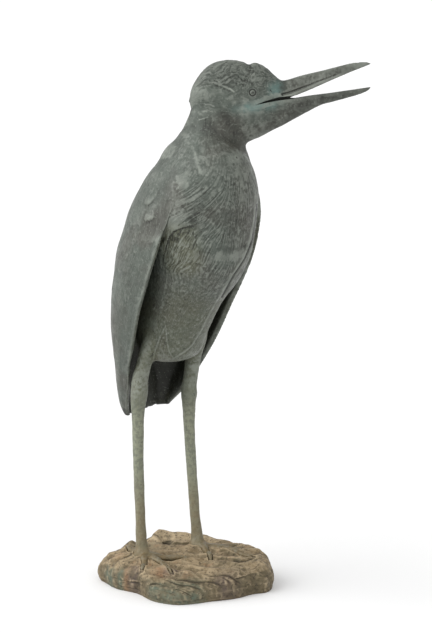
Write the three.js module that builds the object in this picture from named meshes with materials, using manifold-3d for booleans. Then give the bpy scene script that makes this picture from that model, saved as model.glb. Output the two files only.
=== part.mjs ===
// A cast bronze heron that stands on its own rock.
// Millimetres, +Z up. The bird's breast faces -Y and its head is turned over its left side.
import * as THREE from "three";
import Module from "manifold-3d";
import { mergeVertices } from "three/addons/utils/BufferGeometryUtils.js";

const wasm = await Module();
wasm.setup();

// Driving dimensions

const DEG = Math.PI / 180;
// The origin is the middle of the rock's underside, and the bird stands this far from it.
const BIRD_OFFSET = new THREE.Vector3(18, 27, 0);
// The head and the rock share one direction, turned from +X towards -Y.
const HEAD_TURN = -40 * DEG;
// The head's own plane passes this far in front of the bird's axis.
const HEAD_SHIFT = 36.8;
// Touching pieces keep this gap.
const FIT_GAP = 0.35;
// Points closer than this are one when a solid is made.
const MERGE_DISTANCE = 1e-4;
// A bar whose direction is nearer to upright than this takes its sides from another axis.
const UPRIGHT = 0.9;

// Bare body from the belly's rim to the neck: height, place of the widest line, half-width,
// depth in front of that line and depth behind it.
const BODY = [
  { z: 352, y: 35, across: 30, along: 24, rear: 22 },
  { z: 359, y: 33, across: 44, along: 38, rear: 40 },
  { z: 372, y: 30, across: 50, along: 47, rear: 58 },
  { z: 403, y: 18, across: 53, along: 51, rear: 84 },
  { z: 447, y: -7, across: 55, along: 55, rear: 112 },
  { z: 489, y: -34, across: 65, along: 66, rear: 134 },
  { z: 525, y: -46, across: 75, along: 74, rear: 138 },
  { z: 548, y: -41, across: 82, along: 84, rear: 122 },
  { z: 568, y: -32, across: 88, along: 96, rear: 110 },
  { z: 596, y: -28, across: 92, along: 104, rear: 102 },
  { z: 623, y: -36, across: 88, along: 100, rear: 96 },
  { z: 654, y: -45, across: 77, along: 87, rear: 84 },
  { z: 678, y: -50, across: 62, along: 73, rear: 72 },
  { z: 695, y: -50, across: 50, along: 58, rear: 58 },
  { z: 712, y: -49, across: 38, along: 42, rear: 42 },
  { z: 728, y: -48, across: 26, along: 28, rear: 28 },
];
const BODY_SIDES = 26;
const BODY_RINGS = 20;
// The breast is narrower than the back by this share.
const BREAST_NARROWING = 0.07;

// The folded wing lies on an oval round the body. Angles run from the side (0) to the back (90):
// the front edge of the left wing, that of the right wing, and the rear edge of both.
const WING = [
  { z: 672, y: -48, across: 62, along: 70, left: 0, right: 0, back: 80 },
  { z: 654, y: -44, across: 76.5, along: 86, left: -14, right: -14, back: 90 },
  { z: 623, y: -34, across: 87.5, along: 99.5, left: -25, right: -25, back: 94 },
  { z: 592, y: -24, across: 97, along: 105, left: -28, right: -28, back: 94 },
  { z: 561, y: -15, across: 103, along: 106, left: -27, right: -27, back: 94 },
  { z: 529, y: -2, across: 105, along: 107, left: -28, right: -27, back: 94 },
  { z: 498, y: 9, across: 104, along: 101, left: -28, right: -26, back: 94 },
  { z: 466, y: 24, across: 101, along: 92, left: -30, right: -27, back: 94 },
  { z: 435, y: 36, across: 96, along: 85, left: -30, right: -25, back: 94 },
  { z: 403, y: 48, across: 91, along: 73, left: -34, right: -27, back: 94 },
  { z: 371, y: 58, across: 84, along: 59, left: -38, right: -27, back: 93 },
  { z: 339, y: 68, across: 75, along: 49, left: -37, right: -24, back: 88 },
  { z: 307, y: 77, across: 65, along: 45, left: -27, right: -21, back: 78 },
  { z: 284, y: 85, across: 57, along: 35, left: -24, right: -18, back: 68 },
  { z: 269, y: 90, across: 50.5, along: 24, left: -16, right: -20, back: 62 },
  { z: 258, y: 92, across: 44, along: 13, left: -6, right: -28, back: 50 },
];
// Forward of its widest place the wing runs nearly straight; 1 would keep it on the oval.
const WING_SIDE_CURVE = 0.15;
// The left wing ends higher than the right one by this much.
const LEFT_TIP_LIFT = 6.5;
const LEFT_LIFT_START = 345;
// Thickness of the wing's shell inside and at its edges; it thins where the oval is shallower.
const WING_THICK = 11;
const WING_EDGE = 5;
const WING_FULL_DEPTH = 40;
const WING_SWELL = { run: 1.6, start: 0.12, least: 0.35 };
// The wing's face lies this far inside its oval, so that its feathers end on the oval.
const WING_SINK = 1;
const WING_RINGS = 25;
const WING_OUTER_POINTS = 15;
const WING_INNER_POINTS = 6;
// Long flight feathers show as steps across the wing, covert feathers as scalloped rows above.
const FEATHER_STEP = 2.6;
const FEATHER_COUNT = 6;
const COVERT_STEP = 2.4;
const COVERT_END = 0.36;
const COVERT_ROWS = 3;
const COVERT_SCALLOP = 0.5;
const COVERT_FADE_START = 0.25;
const RELIEF_FADE_START = 0.1;
// The two wings meet over the back in a valley, so deep and so many degrees wide.
const SPINE_VALLEY = 6;
const SPINE_VALLEY_WIDTH = 9;

const TAIL_TOP = 430;
const TAIL_BOTTOM = 260;
const TAIL_Y = 107;
const TAIL_HALF_WIDTH = 37;
const TAIL_THICK = 10;
const TAIL_BOW = 4;
const TAIL_SIDES = 16;
const TAIL_RINGS = 8;
// The tail's end is narrower by this share, and its corners rise by this much.
const TAIL_END_SHARE = 0.94;
const TAIL_CORNER_RISE = 7;

// Neck in level slices: height, then place and half-size along the head's direction.
const NECK = [
  { z: 650, q: 29, along: 64, across: 62 },
  { z: 674, q: 31.5, along: 69, across: 57 },
  { z: 688, q: 32.5, along: 63, across: 50 },
  { z: 697, q: 35, along: 58, across: 45 },
  { z: 705, q: 41, along: 49, across: 40 },
  { z: 715, q: 43.5, along: 43.5, across: 35 },
  { z: 727, q: 43.5, along: 43, across: 31 },
  { z: 740, q: 45, along: 38, across: 28.5 },
  { z: 764, q: 46, along: 31, across: 25 },
];
const NECK_SIDES = 24;

// Head and bill in upright slices: distance along the head, top, underside and half-width.
const HEAD = [
  { q: 9, top: 773, under: 758, half: 6 },
  { q: 12.5, top: 784, under: 748, half: 13 },
  { q: 21, top: 798.5, under: 737, half: 19 },
  { q: 34, top: 813.5, under: 722, half: 23.5 },
  { q: 50, top: 821.8, under: 708, half: 26 },
  { q: 70, top: 824.8, under: 698, half: 27 },
  { q: 89, top: 822, under: 697, half: 26.5 },
  { q: 98, top: 817.5, under: 699.5, half: 25.5 },
  { q: 106, top: 820.5, under: 703, half: 24 },
  { q: 116, top: 818, under: 708, half: 21.5 },
  { q: 127, top: 811, under: 714, half: 18 },
  { q: 136, top: 802.5, under: 719, half: 15.5 },
  { q: 148, top: 794.5, under: 724.5, half: 13 },
  { q: 160, top: 796, under: 731, half: 11.5 },
  { q: 178, top: 801.5, under: 741, half: 9.8 },
  { q: 207, top: 808.5, under: 756, half: 7.6 },
  { q: 224, top: 812.8, under: 760.8, half: 6.2 },
  { q: 252, top: 820, under: 768.3, half: 4 },
  { q: 269, top: 822, under: 773.4, half: 2.8 },
  { q: 279, top: 821.8, under: 777.8, half: 1.8 },
  { q: 283.5, top: 820.2, under: 781.2, half: 1.1 },
];
const HEAD_SIDES = 16;
const HEAD_RINGS = 28;
// The open mouth: upper and lower edges of the bill, from its corner to past the tips.
const MOUTH_UPPER = [
  [107, 757.8], [122, 763.4], [143, 769.3], [160, 770.8], [170, 772], [192, 780.8],
  [222, 794], [252, 806.7], [274, 815.2], [294, 823.4],
];
const MOUTH_LOWER = [
  [294, 785.6], [280, 783.6], [252, 779.4], [222, 775], [192, 771], [170, 767.4], [143, 764.2],
  [122, 760.6],
];
const MOUTH_HALF_WIDTH = 34;

const EYE = { q: 103.5, z: 777, radius: 5.2, proud: 2.6, sides: 10, rings: 8 };
// The crest's end behind the head: a bar whose radius is a share of the full one along it.
const NAPE_TUFT = { from: [30, 790], to: [8, 761], radius: 8, sides: 10 };
const NAPE_TUFT_TAPER = [[0, 1], [0.35, 1], [0.7, 0.75], [1, 0.25]];

// Legs from thigh to foot, as level slices: height, x, y and radius.
const RIGHT_LEG = [
  { z: 440, x: -22, y: 8, radius: 19 },
  { z: 410, x: -33, y: 19, radius: 18.5 },
  { z: 380, x: -43.3, y: 30, radius: 15.5 },
  { z: 352, x: -50.4, y: 36.8, radius: 12.8 },
  { z: 326, x: -54.5, y: 42, radius: 12.8 },
  { z: 304, x: -55.5, y: 43.4, radius: 13.4 },
  { z: 288, x: -57.4, y: 43.1, radius: 12 },
  { z: 270, x: -59.3, y: 42, radius: 10.1 },
  { z: 250, x: -60.7, y: 40.5, radius: 9.2 },
  { z: 200, x: -63.5, y: 36.6, radius: 8.5 },
  { z: 110, x: -66.6, y: 28, radius: 8.1 },
  { z: 74, x: -67.8, y: 24.4, radius: 8.6 },
  { z: 58, x: -68.2, y: 22.8, radius: 10.6 },
  { z: 46, x: -68.4, y: 22, radius: 15 },
  { z: 36, x: -68.4, y: 22, radius: 14 },
];
const LEFT_LEG = [
  { z: 440, x: 24, y: 4, radius: 19 },
  { z: 410, x: 36, y: 12, radius: 19 },
  { z: 380, x: 43, y: 21, radius: 17 },
  { z: 352, x: 43.8, y: 28.8, radius: 13.2 },
  { z: 326, x: 42.2, y: 32.5, radius: 11.6 },
  { z: 304, x: 39.3, y: 34.1, radius: 12 },
  { z: 290, x: 37.8, y: 32.6, radius: 12.6 },
  { z: 276, x: 36, y: 30.6, radius: 10.8 },
  { z: 246, x: 33.2, y: 27.2, radius: 9.2 },
  { z: 200, x: 30.6, y: 20.2, radius: 8.4 },
  { z: 110, x: 26.8, y: 6, radius: 8.1 },
  { z: 76, x: 25.8, y: -0.4, radius: 8.6 },
  { z: 62, x: 25.2, y: -3, radius: 10.6 },
  { z: 52, x: 25, y: -4.4, radius: 15 },
  { z: 42, x: 25, y: -4.4, radius: 14 },
];
const LEG_SIDES = 11;
// Toes: where each ends in plan, with the bend's sideways bow.
const RIGHT_TOES = [
  { x: -18, y: -40, bow: -7 },
  { x: -76, y: -62, bow: 5 },
  { x: -106, y: -24, bow: 4 },
  { x: -64, y: 66, bow: 4 },
];
const LEFT_TOES = [
  { x: 76, y: -48, bow: -5 },
  { x: 88, y: -80, bow: -5 },
  { x: 62, y: -98, bow: 4 },
  { x: 2, y: -64, bow: 5 },
];
const TOE_RADIUS = 7;
const TOE_RINGS = 7;
const TOE_SIDES = 7;
// A toe tapers by a share of its radius, swells at its knuckles and ends in a claw.
const TOE_TAPER = { share: 0.5, power: 1.5 };
const KNUCKLES = { count: 3, swell: 0.1 };
const CLAW_RADIUS = 1.8;
// It lies this far over the rock's top, arches up towards the foot and sinks by its thickness.
const TOE_LIE = { lift: 1.5, arch: 3, sink: 0.15 };

// Rock plan seen from above, in the rock's own axes: along the head's direction, then rearward.
const ROCK_PLAN = [
  [139, -48], [129, -76], [106, -87], [77, -111], [43, -124], [12, -138], [-13, -143],
  [-36, -134], [-54, -119], [-76, -83], [-108, -58], [-126, -28], [-136, 2], [-97, 28],
  [-62, 56], [-38, 76], [8, 78], [42, 68], [62, 56], [84, 43], [112, 26], [134, -8],
];
const ROCK_CENTRE = [0, -28];
const ROCK_SIDES = 45;
// The rock leans to its left: its foot stands this far right of the plan and its rim this far left.
const ROCK_LEAN = { foot: 2, rim: -2 };
// Flank of the rock: height as a share of the rim's, and growth of the plan.
const ROCK_FLANK = [
  { height: 0, grow: 0.985 },
  { height: 0.14, grow: 1 },
  { height: 0.4, grow: 1.012 },
  { height: 0.66, grow: 0.995 },
  { height: 0.86, grow: 0.955 },
];
const ROCK_TOP_SHARES = [0.89, 0.79, 0.67, 0.55, 0.42, 0.28, 0.14];
const ROCK_HEIGHT = 49;
const ROCK_TILT = 0.1;
// Past these places the top falls or rises with the square of the way.
const FRONT_FALL = { start: -40, amount: 0.0012 };
const LEFT_FALL = { start: -84, amount: 0.006 };
const RIGHT_RISE = { start: 90, amount: 0.0025 };
// Low wavy ridges run along the top.
const STRATA_HEIGHT = 1.9;
const STRATA_LENGTH = 25;
const STRATA_SKEW = 0.16;
const STRATA_WAVE = { height: 6, length: 38 };
const REAR_RIDGE = { q: -8, d: 60, height: 5, halfLength: 62, width: 13, squareness: 6 };
const REAR_KNOB = { q: -43, d: 64, height: 5, radius: 13 };
const HEEL_KNOB = { q: -88, d: 24, height: 4, radius: 12 };
const CAVITY = { q: -29, d: 41, depth: 9, radius: 10 };

// Grey-green patina of the bird, tan-brown patina of the rock
const BIRD_PATINA = { color: 0x59665c, roughness: 0.6, metalness: 0.7 };
const ROCK_PATINA = { color: 0x7d6f57, roughness: 0.75, metalness: 0.5 };

// General helpers

// Value of one named measure at a place along a list of stations, on a smooth curve.
function measure(stations, key, place) {
  const last = stations.length - 1;
  const index = Math.min(Math.floor(place), last - 1);
  const share = place - index;
  const at = (i) => stations[Math.max(0, Math.min(last, i))][key];
  const [before, start, end, after] = [at(index - 1), at(index), at(index + 1), at(index + 2)];
  const rise = (end - before) / 2;
  const leave = (after - start) / 2;
  const a = 2 * start - 2 * end + rise + leave;
  const b = -3 * start + 3 * end - 2 * rise - leave;
  return ((a * share + b) * share + rise) * share + start;
}

// A closed body through rings of points; both ends are closed to their middles.
function loft(rings) {
  const sides = rings[0].length;
  const positions = rings.flat().flatMap((point) => [point.x, point.y, point.z]);
  const indices = [];
  for (let i = 0; i < rings.length - 1; i += 1) {
    for (let j = 0; j < sides; j += 1) {
      const a = i * sides + j;
      const b = i * sides + ((j + 1) % sides);
      indices.push(a, b, b + sides, a, b + sides, a + sides);
    }
  }
  for (const end of [0, rings.length - 1]) {
    const middle = new THREE.Vector3();
    rings[end].forEach((point) => middle.addScaledVector(point, 1 / sides));
    const tip = positions.length / 3;
    positions.push(middle.x, middle.y, middle.z);
    for (let j = 0; j < sides; j += 1) {
      const a = end * sides + j;
      const b = end * sides + ((j + 1) % sides);
      indices.push(...(end === 0 ? [b, a, tip] : [a, b, tip]));
    }
  }
  const geometry = new THREE.BufferGeometry();
  geometry.setAttribute("position", new THREE.Float32BufferAttribute(positions, 3));
  geometry.setIndex(indices);
  return facingOut(geometry);
}

// Turns a closed surface the right way out, by the sign of its volume.
function facingOut(geometry) {
  const position = geometry.getAttribute("position");
  const index = geometry.getIndex().array;
  const corner = [0, 1, 2].map(() => new THREE.Vector3());
  let volume = 0;
  for (let i = 0; i < index.length; i += 3) {
    corner.forEach((point, k) => point.fromBufferAttribute(position, index[i + k]));
    volume += corner[0].dot(corner[1].clone().cross(corner[2]));
  }
  if (volume < 0) {
    for (let i = 0; i < index.length; i += 3) {
      [index[i], index[i + 1]] = [index[i + 1], index[i]];
    }
  }
  return geometry;
}

// A solid for cutting and joining, from a closed geometry.
function solid(geometry) {
  const bare = geometry.clone();
  bare.deleteAttribute("normal");
  bare.deleteAttribute("uv");
  const merged = mergeVertices(bare, MERGE_DISTANCE);
  return new wasm.Manifold(new wasm.Mesh({
    numProp: 3,
    vertProperties: new Float32Array(merged.getAttribute("position").array),
    triVerts: new Uint32Array(merged.getIndex().array),
  }));
}

function join(solids) {
  return solids.reduce((sum, next) => sum.add(next));
}

function geometryOf(body) {
  const mesh = body.getMesh();
  const geometry = new THREE.BufferGeometry();
  geometry.setAttribute("position", new THREE.BufferAttribute(mesh.vertProperties, 3));
  geometry.setIndex(new THREE.BufferAttribute(mesh.triVerts, 1));
  return geometry;
}

// Ring in a plane given by its centre and two axes.
function ovalRing(centre, first, second, halfFirst, halfSecond, sides) {
  return Array.from({ length: sides }, (_, j) => {
    const angle = (2 * Math.PI * j) / sides;
    return centre.clone()
      .addScaledVector(first, halfFirst * Math.cos(angle))
      .addScaledVector(second, halfSecond * Math.sin(angle));
  });
}

const UP = new THREE.Vector3(0, 0, 1);
const FORWARD = new THREE.Vector3(Math.cos(HEAD_TURN), Math.sin(HEAD_TURN), 0);
const REARWARD = new THREE.Vector3(-Math.sin(HEAD_TURN), Math.cos(HEAD_TURN), 0);

// Point of the head's own plane, moved sideways towards the far side.
function headPoint(q, z, side = 0) {
  return FORWARD.clone()
    .multiplyScalar(q)
    .addScaledVector(REARWARD, side - HEAD_SHIFT)
    .setZ(z);
}

// Round bar through points, with its own radius at each.
function bar(points, radii, sides) {
  const rings = points.map((point, i) => {
    const from = points[Math.max(0, i - 1)];
    const to = points[Math.min(points.length - 1, i + 1)];
    const along = to.clone().sub(from).normalize();
    const helper = Math.abs(along.z) > UPRIGHT ? new THREE.Vector3(0, 1, 0) : UP;
    const first = helper.clone().cross(along).normalize();
    const second = along.clone().cross(first);
    return ovalRing(point, first, second, radii[i], radii[i], sides);
  });
  return loft(rings);
}

// The bird

function bodyGeometry() {
  const slices = Array.from({ length: BODY_RINGS }, (_, i) => {
    const place = ((BODY.length - 1) * i) / (BODY_RINGS - 1);
    const centre = new THREE.Vector3(0, measure(BODY, "y", place), measure(BODY, "z", place));
    const across = measure(BODY, "across", place);
    return Array.from({ length: BODY_SIDES }, (_unused, j) => {
      const angle = (2 * Math.PI * j) / BODY_SIDES;
      const front = Math.max(0, -Math.sin(angle));
      const width = across * (1 - BREAST_NARROWING * front);
      const depth = measure(BODY, front > 0 ? "along" : "rear", place);
      return new THREE.Vector3(width * Math.cos(angle), depth * Math.sin(angle), 0).add(centre);
    });
  });
  return loft(slices);
}

// How far feathers stand up from the wing: share is 0 at the shoulder and 1 at the tip.
function featherRelief(share, across) {
  const flight = FEATHER_STEP * (((1 - across) * FEATHER_COUNT) % 1);
  if (share > COVERT_END) {
    return flight;
  }
  const wave = COVERT_SCALLOP * Math.abs(Math.sin(across * Math.PI * FEATHER_COUNT));
  const row = (COVERT_ROWS * share) / COVERT_END - wave + 1;
  const fade = Math.sin((Math.PI / 2) * Math.min(1, share / COVERT_END + COVERT_FADE_START));
  return COVERT_STEP * (row % 1) * fade;
}

// One wing shell; side is 1 for the bird's left and -1 for its right.
function wingGeometry(side) {
  const last = WING.length - 1;
  const rings = Array.from({ length: WING_RINGS }, (_, i) => {
    const share = i / (WING_RINGS - 1);
    const place = last * share;
    const at = (key) => measure(WING, key, place);
    const low = Math.max(0, (LEFT_LIFT_START - at("z")) / (LEFT_LIFT_START - WING[last].z));
    const z = at("z") + (side > 0 ? LEFT_TIP_LIFT * low : 0);
    const point = (angle, inset) => {
      const width = Math.cos(angle * DEG) ** (angle < 0 ? WING_SIDE_CURVE : 1);
      return new THREE.Vector3(
        side * (at("across") - inset) * width,
        at("y") + (at("along") - inset) * Math.sin(angle * DEG),
        z,
      );
    };
    const front = at(side > 0 ? "left" : "right");
    const back = at("back");
    const thick = WING_THICK * Math.min(1, at("along") / WING_FULL_DEPTH);
    const fade = Math.sin(Math.PI * Math.min(1, share + RELIEF_FADE_START));
    const outer = Array.from({ length: WING_OUTER_POINTS }, (_unused, j) => {
      const across = j / (WING_OUTER_POINTS - 1);
      const angle = front + (back - front) * across;
      const valley = SPINE_VALLEY * Math.exp(-(((90 - angle) / SPINE_VALLEY_WIDTH) ** 2));
      return point(angle, WING_SINK + valley - fade * featherRelief(share, across));
    });
    const inner = Array.from({ length: WING_INNER_POINTS }, (_unused, j) => {
      const across = 1 - j / (WING_INNER_POINTS - 1);
      const angle = front + (back - front) * across;
      const turn = Math.PI * Math.min(1, WING_SWELL.run * across + WING_SWELL.start);
      const swell = Math.max(WING_SWELL.least, Math.sin(turn));
      return point(angle, WING_SINK + WING_EDGE + (thick - WING_EDGE) * swell);
    });
    return [...outer, ...inner];
  });
  return loft(rings);
}

function tailGeometry() {
  const side = new THREE.Vector3(1, 0, 0);
  const rear = new THREE.Vector3(0, 1, 0);
  const slices = Array.from({ length: TAIL_RINGS }, (_, i) => {
    const share = i / (TAIL_RINGS - 1);
    const z = TAIL_TOP + (TAIL_BOTTOM - TAIL_TOP) * share;
    const [narrow, rise] = share === 1 ? [TAIL_END_SHARE, TAIL_CORNER_RISE] : [1, 0];
    const centre = new THREE.Vector3(0, TAIL_Y + TAIL_BOW * Math.sin(Math.PI * share), z);
    const halfWidth = TAIL_HALF_WIDTH * narrow;
    const ring = ovalRing(centre, side, rear, halfWidth, TAIL_THICK / 2, TAIL_SIDES);
    ring.forEach((point) => point.setZ(point.z + rise * (point.x / halfWidth) ** 2));
    return ring;
  });
  return loft(slices);
}

function neckGeometry() {
  const slices = NECK.map(({ z, q, along, across }) => (
    ovalRing(headPoint(q, z), FORWARD, REARWARD, along, across, NECK_SIDES)
  ));
  return loft(slices);
}

function headGeometry() {
  const slices = Array.from({ length: HEAD_RINGS }, (_, i) => {
    const place = ((HEAD.length - 1) * i) / (HEAD_RINGS - 1);
    const at = (key) => measure(HEAD, key, place);
    const middle = (at("top") + at("under")) / 2;
    const half = (at("top") - at("under")) / 2;
    return ovalRing(headPoint(at("q"), middle), REARWARD, UP, at("half"), half, HEAD_SIDES);
  });
  return loft(slices);
}

// The space between the two halves of the bill, as a slab through the head's plane.
function mouthGeometry() {
  const outline = [...MOUTH_UPPER, ...MOUTH_LOWER];
  const shape = new THREE.Shape(outline.map(([q, z]) => new THREE.Vector2(q, z)));
  const slab = new THREE.ExtrudeGeometry(shape, {
    depth: 2 * MOUTH_HALF_WIDTH,
    bevelEnabled: false,
  });
  slab.translate(0, 0, -MOUTH_HALF_WIDTH);
  const start = headPoint(0, 0);
  const placement = new THREE.Matrix4().makeBasis(FORWARD, UP, REARWARD.clone().negate());
  return slab.applyMatrix4(placement.setPosition(start));
}

// Half-width of the head at a place along it and a height.
function headHalfWidth(q, z) {
  const next = HEAD.findIndex((station) => station.q > q);
  const [a, b] = [HEAD[next - 1], HEAD[next]];
  const share = (q - a.q) / (b.q - a.q);
  const mix = (key) => a[key] + (b[key] - a[key]) * share;
  const middle = (mix("top") + mix("under")) / 2;
  const half = (mix("top") - mix("under")) / 2;
  return mix("half") * Math.sqrt(Math.max(0, 1 - ((z - middle) / half) ** 2));
}

function headDetails() {
  const details = [];
  for (const side of [-1, 1]) {
    const eye = new THREE.SphereGeometry(EYE.radius, EYE.sides, EYE.rings);
    const depth = headHalfWidth(EYE.q, EYE.z) + EYE.proud - EYE.radius;
    const place = headPoint(EYE.q, EYE.z, side * depth);
    details.push(solid(eye.translate(place.x, place.y, place.z)));
  }
  const tuft = NAPE_TUFT_TAPER.map(([share]) => headPoint(
    NAPE_TUFT.from[0] + (NAPE_TUFT.to[0] - NAPE_TUFT.from[0]) * share,
    NAPE_TUFT.from[1] + (NAPE_TUFT.to[1] - NAPE_TUFT.from[1]) * share,
  ));
  const radii = NAPE_TUFT_TAPER.map(([, size]) => size * NAPE_TUFT.radius);
  details.push(solid(bar(tuft, radii, NAPE_TUFT.sides)));
  return details;
}

function legGeometry(stations, extra) {
  const side = new THREE.Vector3(1, 0, 0);
  const rear = new THREE.Vector3(0, 1, 0);
  const slices = stations.map(({ z, x, y, radius }) => (
    ovalRing(new THREE.Vector3(x, y, z), side, rear, radius + extra, radius + extra, LEG_SIDES)
  ));
  return loft(slices);
}

// One toe from the foot to its claw, lying on the rock.
function toeGeometry(foot, toe, extra) {
  const start = new THREE.Vector2(foot.x, foot.y);
  const end = new THREE.Vector2(toe.x, toe.y);
  const run = end.clone().sub(start);
  const sideways = new THREE.Vector2(-run.y, run.x).normalize();
  const points = [];
  const radii = [];
  for (let i = 0; i < TOE_RINGS; i += 1) {
    const share = i / (TOE_RINGS - 1);
    const plan = start.clone().addScaledVector(run, share);
    plan.addScaledVector(sideways, toe.bow * Math.sin(Math.PI * share));
    const taper = 1 - TOE_TAPER.share * share ** TOE_TAPER.power;
    const knuckle = 1 + KNUCKLES.swell * Math.cos(2 * Math.PI * KNUCKLES.count * share);
    const radius = share < 1 ? TOE_RADIUS * taper * knuckle : CLAW_RADIUS;
    const lift = TOE_LIE.lift + TOE_LIE.arch * (1 - share) ** 2 - TOE_LIE.sink * radius;
    points.push(new THREE.Vector3(plan.x, plan.y, rockTopAt(plan.x, plan.y) + lift));
    radii.push(radius + extra);
  }
  return bar(points, radii, TOE_SIDES);
}

function feet(extra) {
  const both = [[RIGHT_LEG, RIGHT_TOES], [LEFT_LEG, LEFT_TOES]];
  return both.flatMap(([leg, toes]) => {
    const foot = leg[leg.length - 1];
    const legSolid = solid(legGeometry(leg, extra));
    return [legSolid, ...toes.map((toe) => solid(toeGeometry(foot, toe, extra)))];
  });
}

function heronGeometry() {
  const head = join([solid(headGeometry()), ...headDetails()]);
  const openHead = head.subtract(solid(mouthGeometry()));
  const wings = [-1, 1].map((side) => solid(wingGeometry(side)));
  const trunk = [solid(bodyGeometry()), solid(neckGeometry()), solid(tailGeometry())];
  return geometryOf(join([...trunk, ...wings, openHead, ...feet(0)]));
}

// The rock

// Height of the rock's top at a place in its own axes.
function rockTop(q, d) {
  const slope = ROCK_HEIGHT + ROCK_TILT * d
    - FRONT_FALL.amount * Math.min(0, d - FRONT_FALL.start) ** 2
    - LEFT_FALL.amount * Math.min(0, q - LEFT_FALL.start) ** 2
    + RIGHT_RISE.amount * Math.max(0, q - RIGHT_RISE.start) ** 2;
  const lean = d + STRATA_SKEW * q + STRATA_WAVE.height * Math.sin(q / STRATA_WAVE.length);
  const strata = STRATA_HEIGHT * Math.sin((2 * Math.PI * lean) / STRATA_LENGTH);
  const far = Math.abs(q - REAR_RIDGE.q) / REAR_RIDGE.halfLength;
  const near = (d - REAR_RIDGE.d) / REAR_RIDGE.width;
  const ridge = REAR_RIDGE.height * Math.exp(-(far ** REAR_RIDGE.squareness) - near ** 2);
  const bump = (spot, size) => (
    size * Math.exp(-((q - spot.q) ** 2 + (d - spot.d) ** 2) / spot.radius ** 2)
  );
  const knobs = bump(REAR_KNOB, REAR_KNOB.height) + bump(HEEL_KNOB, HEEL_KNOB.height);
  return slope + strata + ridge + knobs - bump(CAVITY, CAVITY.depth);
}

// The same for a place in the bird's axes.
function rockTopAt(x, y) {
  const q = x * FORWARD.x + y * FORWARD.y;
  const d = x * REARWARD.x + y * REARWARD.y;
  return rockTop(q, d);
}

function rockGeometry() {
  const plan = new THREE.CatmullRomCurve3(
    ROCK_PLAN.map(([q, d]) => new THREE.Vector3(q, d, 0)), true, "centripetal",
  ).getSpacedPoints(ROCK_SIDES).slice(0, ROCK_SIDES);
  const [middleQ, middleD] = ROCK_CENTRE;
  const ringAt = (grow, height) => plan.map((point) => {
    const lean = ROCK_LEAN.foot + (ROCK_LEAN.rim - ROCK_LEAN.foot) * height;
    const q = middleQ + lean + (point.x - middleQ) * grow;
    const d = middleD + (point.y - middleD) * grow;
    const z = height * rockTop(q, d);
    return FORWARD.clone().multiplyScalar(q).addScaledVector(REARWARD, d).setZ(z);
  });
  const flank = ROCK_FLANK.map(({ height, grow }) => ringAt(grow, height));
  const top = ROCK_TOP_SHARES.map((grow) => ringAt(grow, 1));
  return loft([...flank, ...top]);
}

// The rock with the feet's shape cut out of its top, a little larger than the feet.
function seatedRockGeometry() {
  const seats = feet(FIT_GAP);
  return geometryOf(seats.reduce((rest, seat) => rest.subtract(seat), solid(rockGeometry())));
}

// Everything in its place

const sculpture = new THREE.Group();
sculpture.position.copy(BIRD_OFFSET);

function add(name, geometry, patina) {
  const mesh = new THREE.Mesh(geometry, new THREE.MeshStandardMaterial(patina));
  mesh.name = name;
  sculpture.add(mesh);
}

add("heron", heronGeometry(), BIRD_PATINA);
add("rock_base", seatedRockGeometry(), ROCK_PATINA);

export default sculpture;
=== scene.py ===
"""A cast bronze heron on its rock: fine form, patina, studio and camera."""
import math

import bmesh
import bpy
import numpy as np
from bpy.props import FloatProperty, FloatVectorProperty, IntProperty, PointerProperty
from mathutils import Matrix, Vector


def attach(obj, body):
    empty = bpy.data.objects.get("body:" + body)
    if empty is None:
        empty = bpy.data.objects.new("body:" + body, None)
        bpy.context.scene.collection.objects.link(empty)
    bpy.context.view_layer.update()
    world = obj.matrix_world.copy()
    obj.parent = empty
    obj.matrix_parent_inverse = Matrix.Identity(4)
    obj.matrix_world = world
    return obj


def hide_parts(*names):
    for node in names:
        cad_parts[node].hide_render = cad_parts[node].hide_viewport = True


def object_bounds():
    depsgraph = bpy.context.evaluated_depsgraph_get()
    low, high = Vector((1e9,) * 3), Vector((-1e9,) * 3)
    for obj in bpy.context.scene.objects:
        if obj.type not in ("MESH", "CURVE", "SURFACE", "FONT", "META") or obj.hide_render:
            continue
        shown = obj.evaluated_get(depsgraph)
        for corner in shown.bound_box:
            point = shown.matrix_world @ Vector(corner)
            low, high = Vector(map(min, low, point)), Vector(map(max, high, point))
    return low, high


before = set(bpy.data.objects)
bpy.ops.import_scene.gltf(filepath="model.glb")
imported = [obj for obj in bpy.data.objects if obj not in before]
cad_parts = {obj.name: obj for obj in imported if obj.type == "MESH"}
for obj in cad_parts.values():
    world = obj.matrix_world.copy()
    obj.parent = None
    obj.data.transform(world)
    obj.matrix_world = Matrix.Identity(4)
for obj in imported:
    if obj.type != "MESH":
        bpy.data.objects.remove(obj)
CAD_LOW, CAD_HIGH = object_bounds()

bl_info = {
    "name": "Garden heron",
    "version": (1, 0, 0),
    "blender": (4, 5, 0),
    "location": "View3D > Sidebar > Garden heron",
    "description": "Builds a bronze heron with feathers, its rock and a pale studio",
    "category": "Object",
}

# Sizes are in metres. The bird's own axes are the frame's, moved by BIRD_OFFSET: its breast
# faces -Y and +X is its left. The head and the rock share one direction, turned towards -Y.
BIRD_OFFSET = np.array([0.018, 0.027, 0.0])
HEAD_TURN = math.radians(-40)
HEAD_SHIFT = 0.0368
FORWARD = np.array([math.cos(HEAD_TURN), math.sin(HEAD_TURN), 0.0])
REARWARD = np.array([-math.sin(HEAD_TURN), math.cos(HEAD_TURN), 0.0])
UP = np.array([0.0, 0.0, 1.0])

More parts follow.
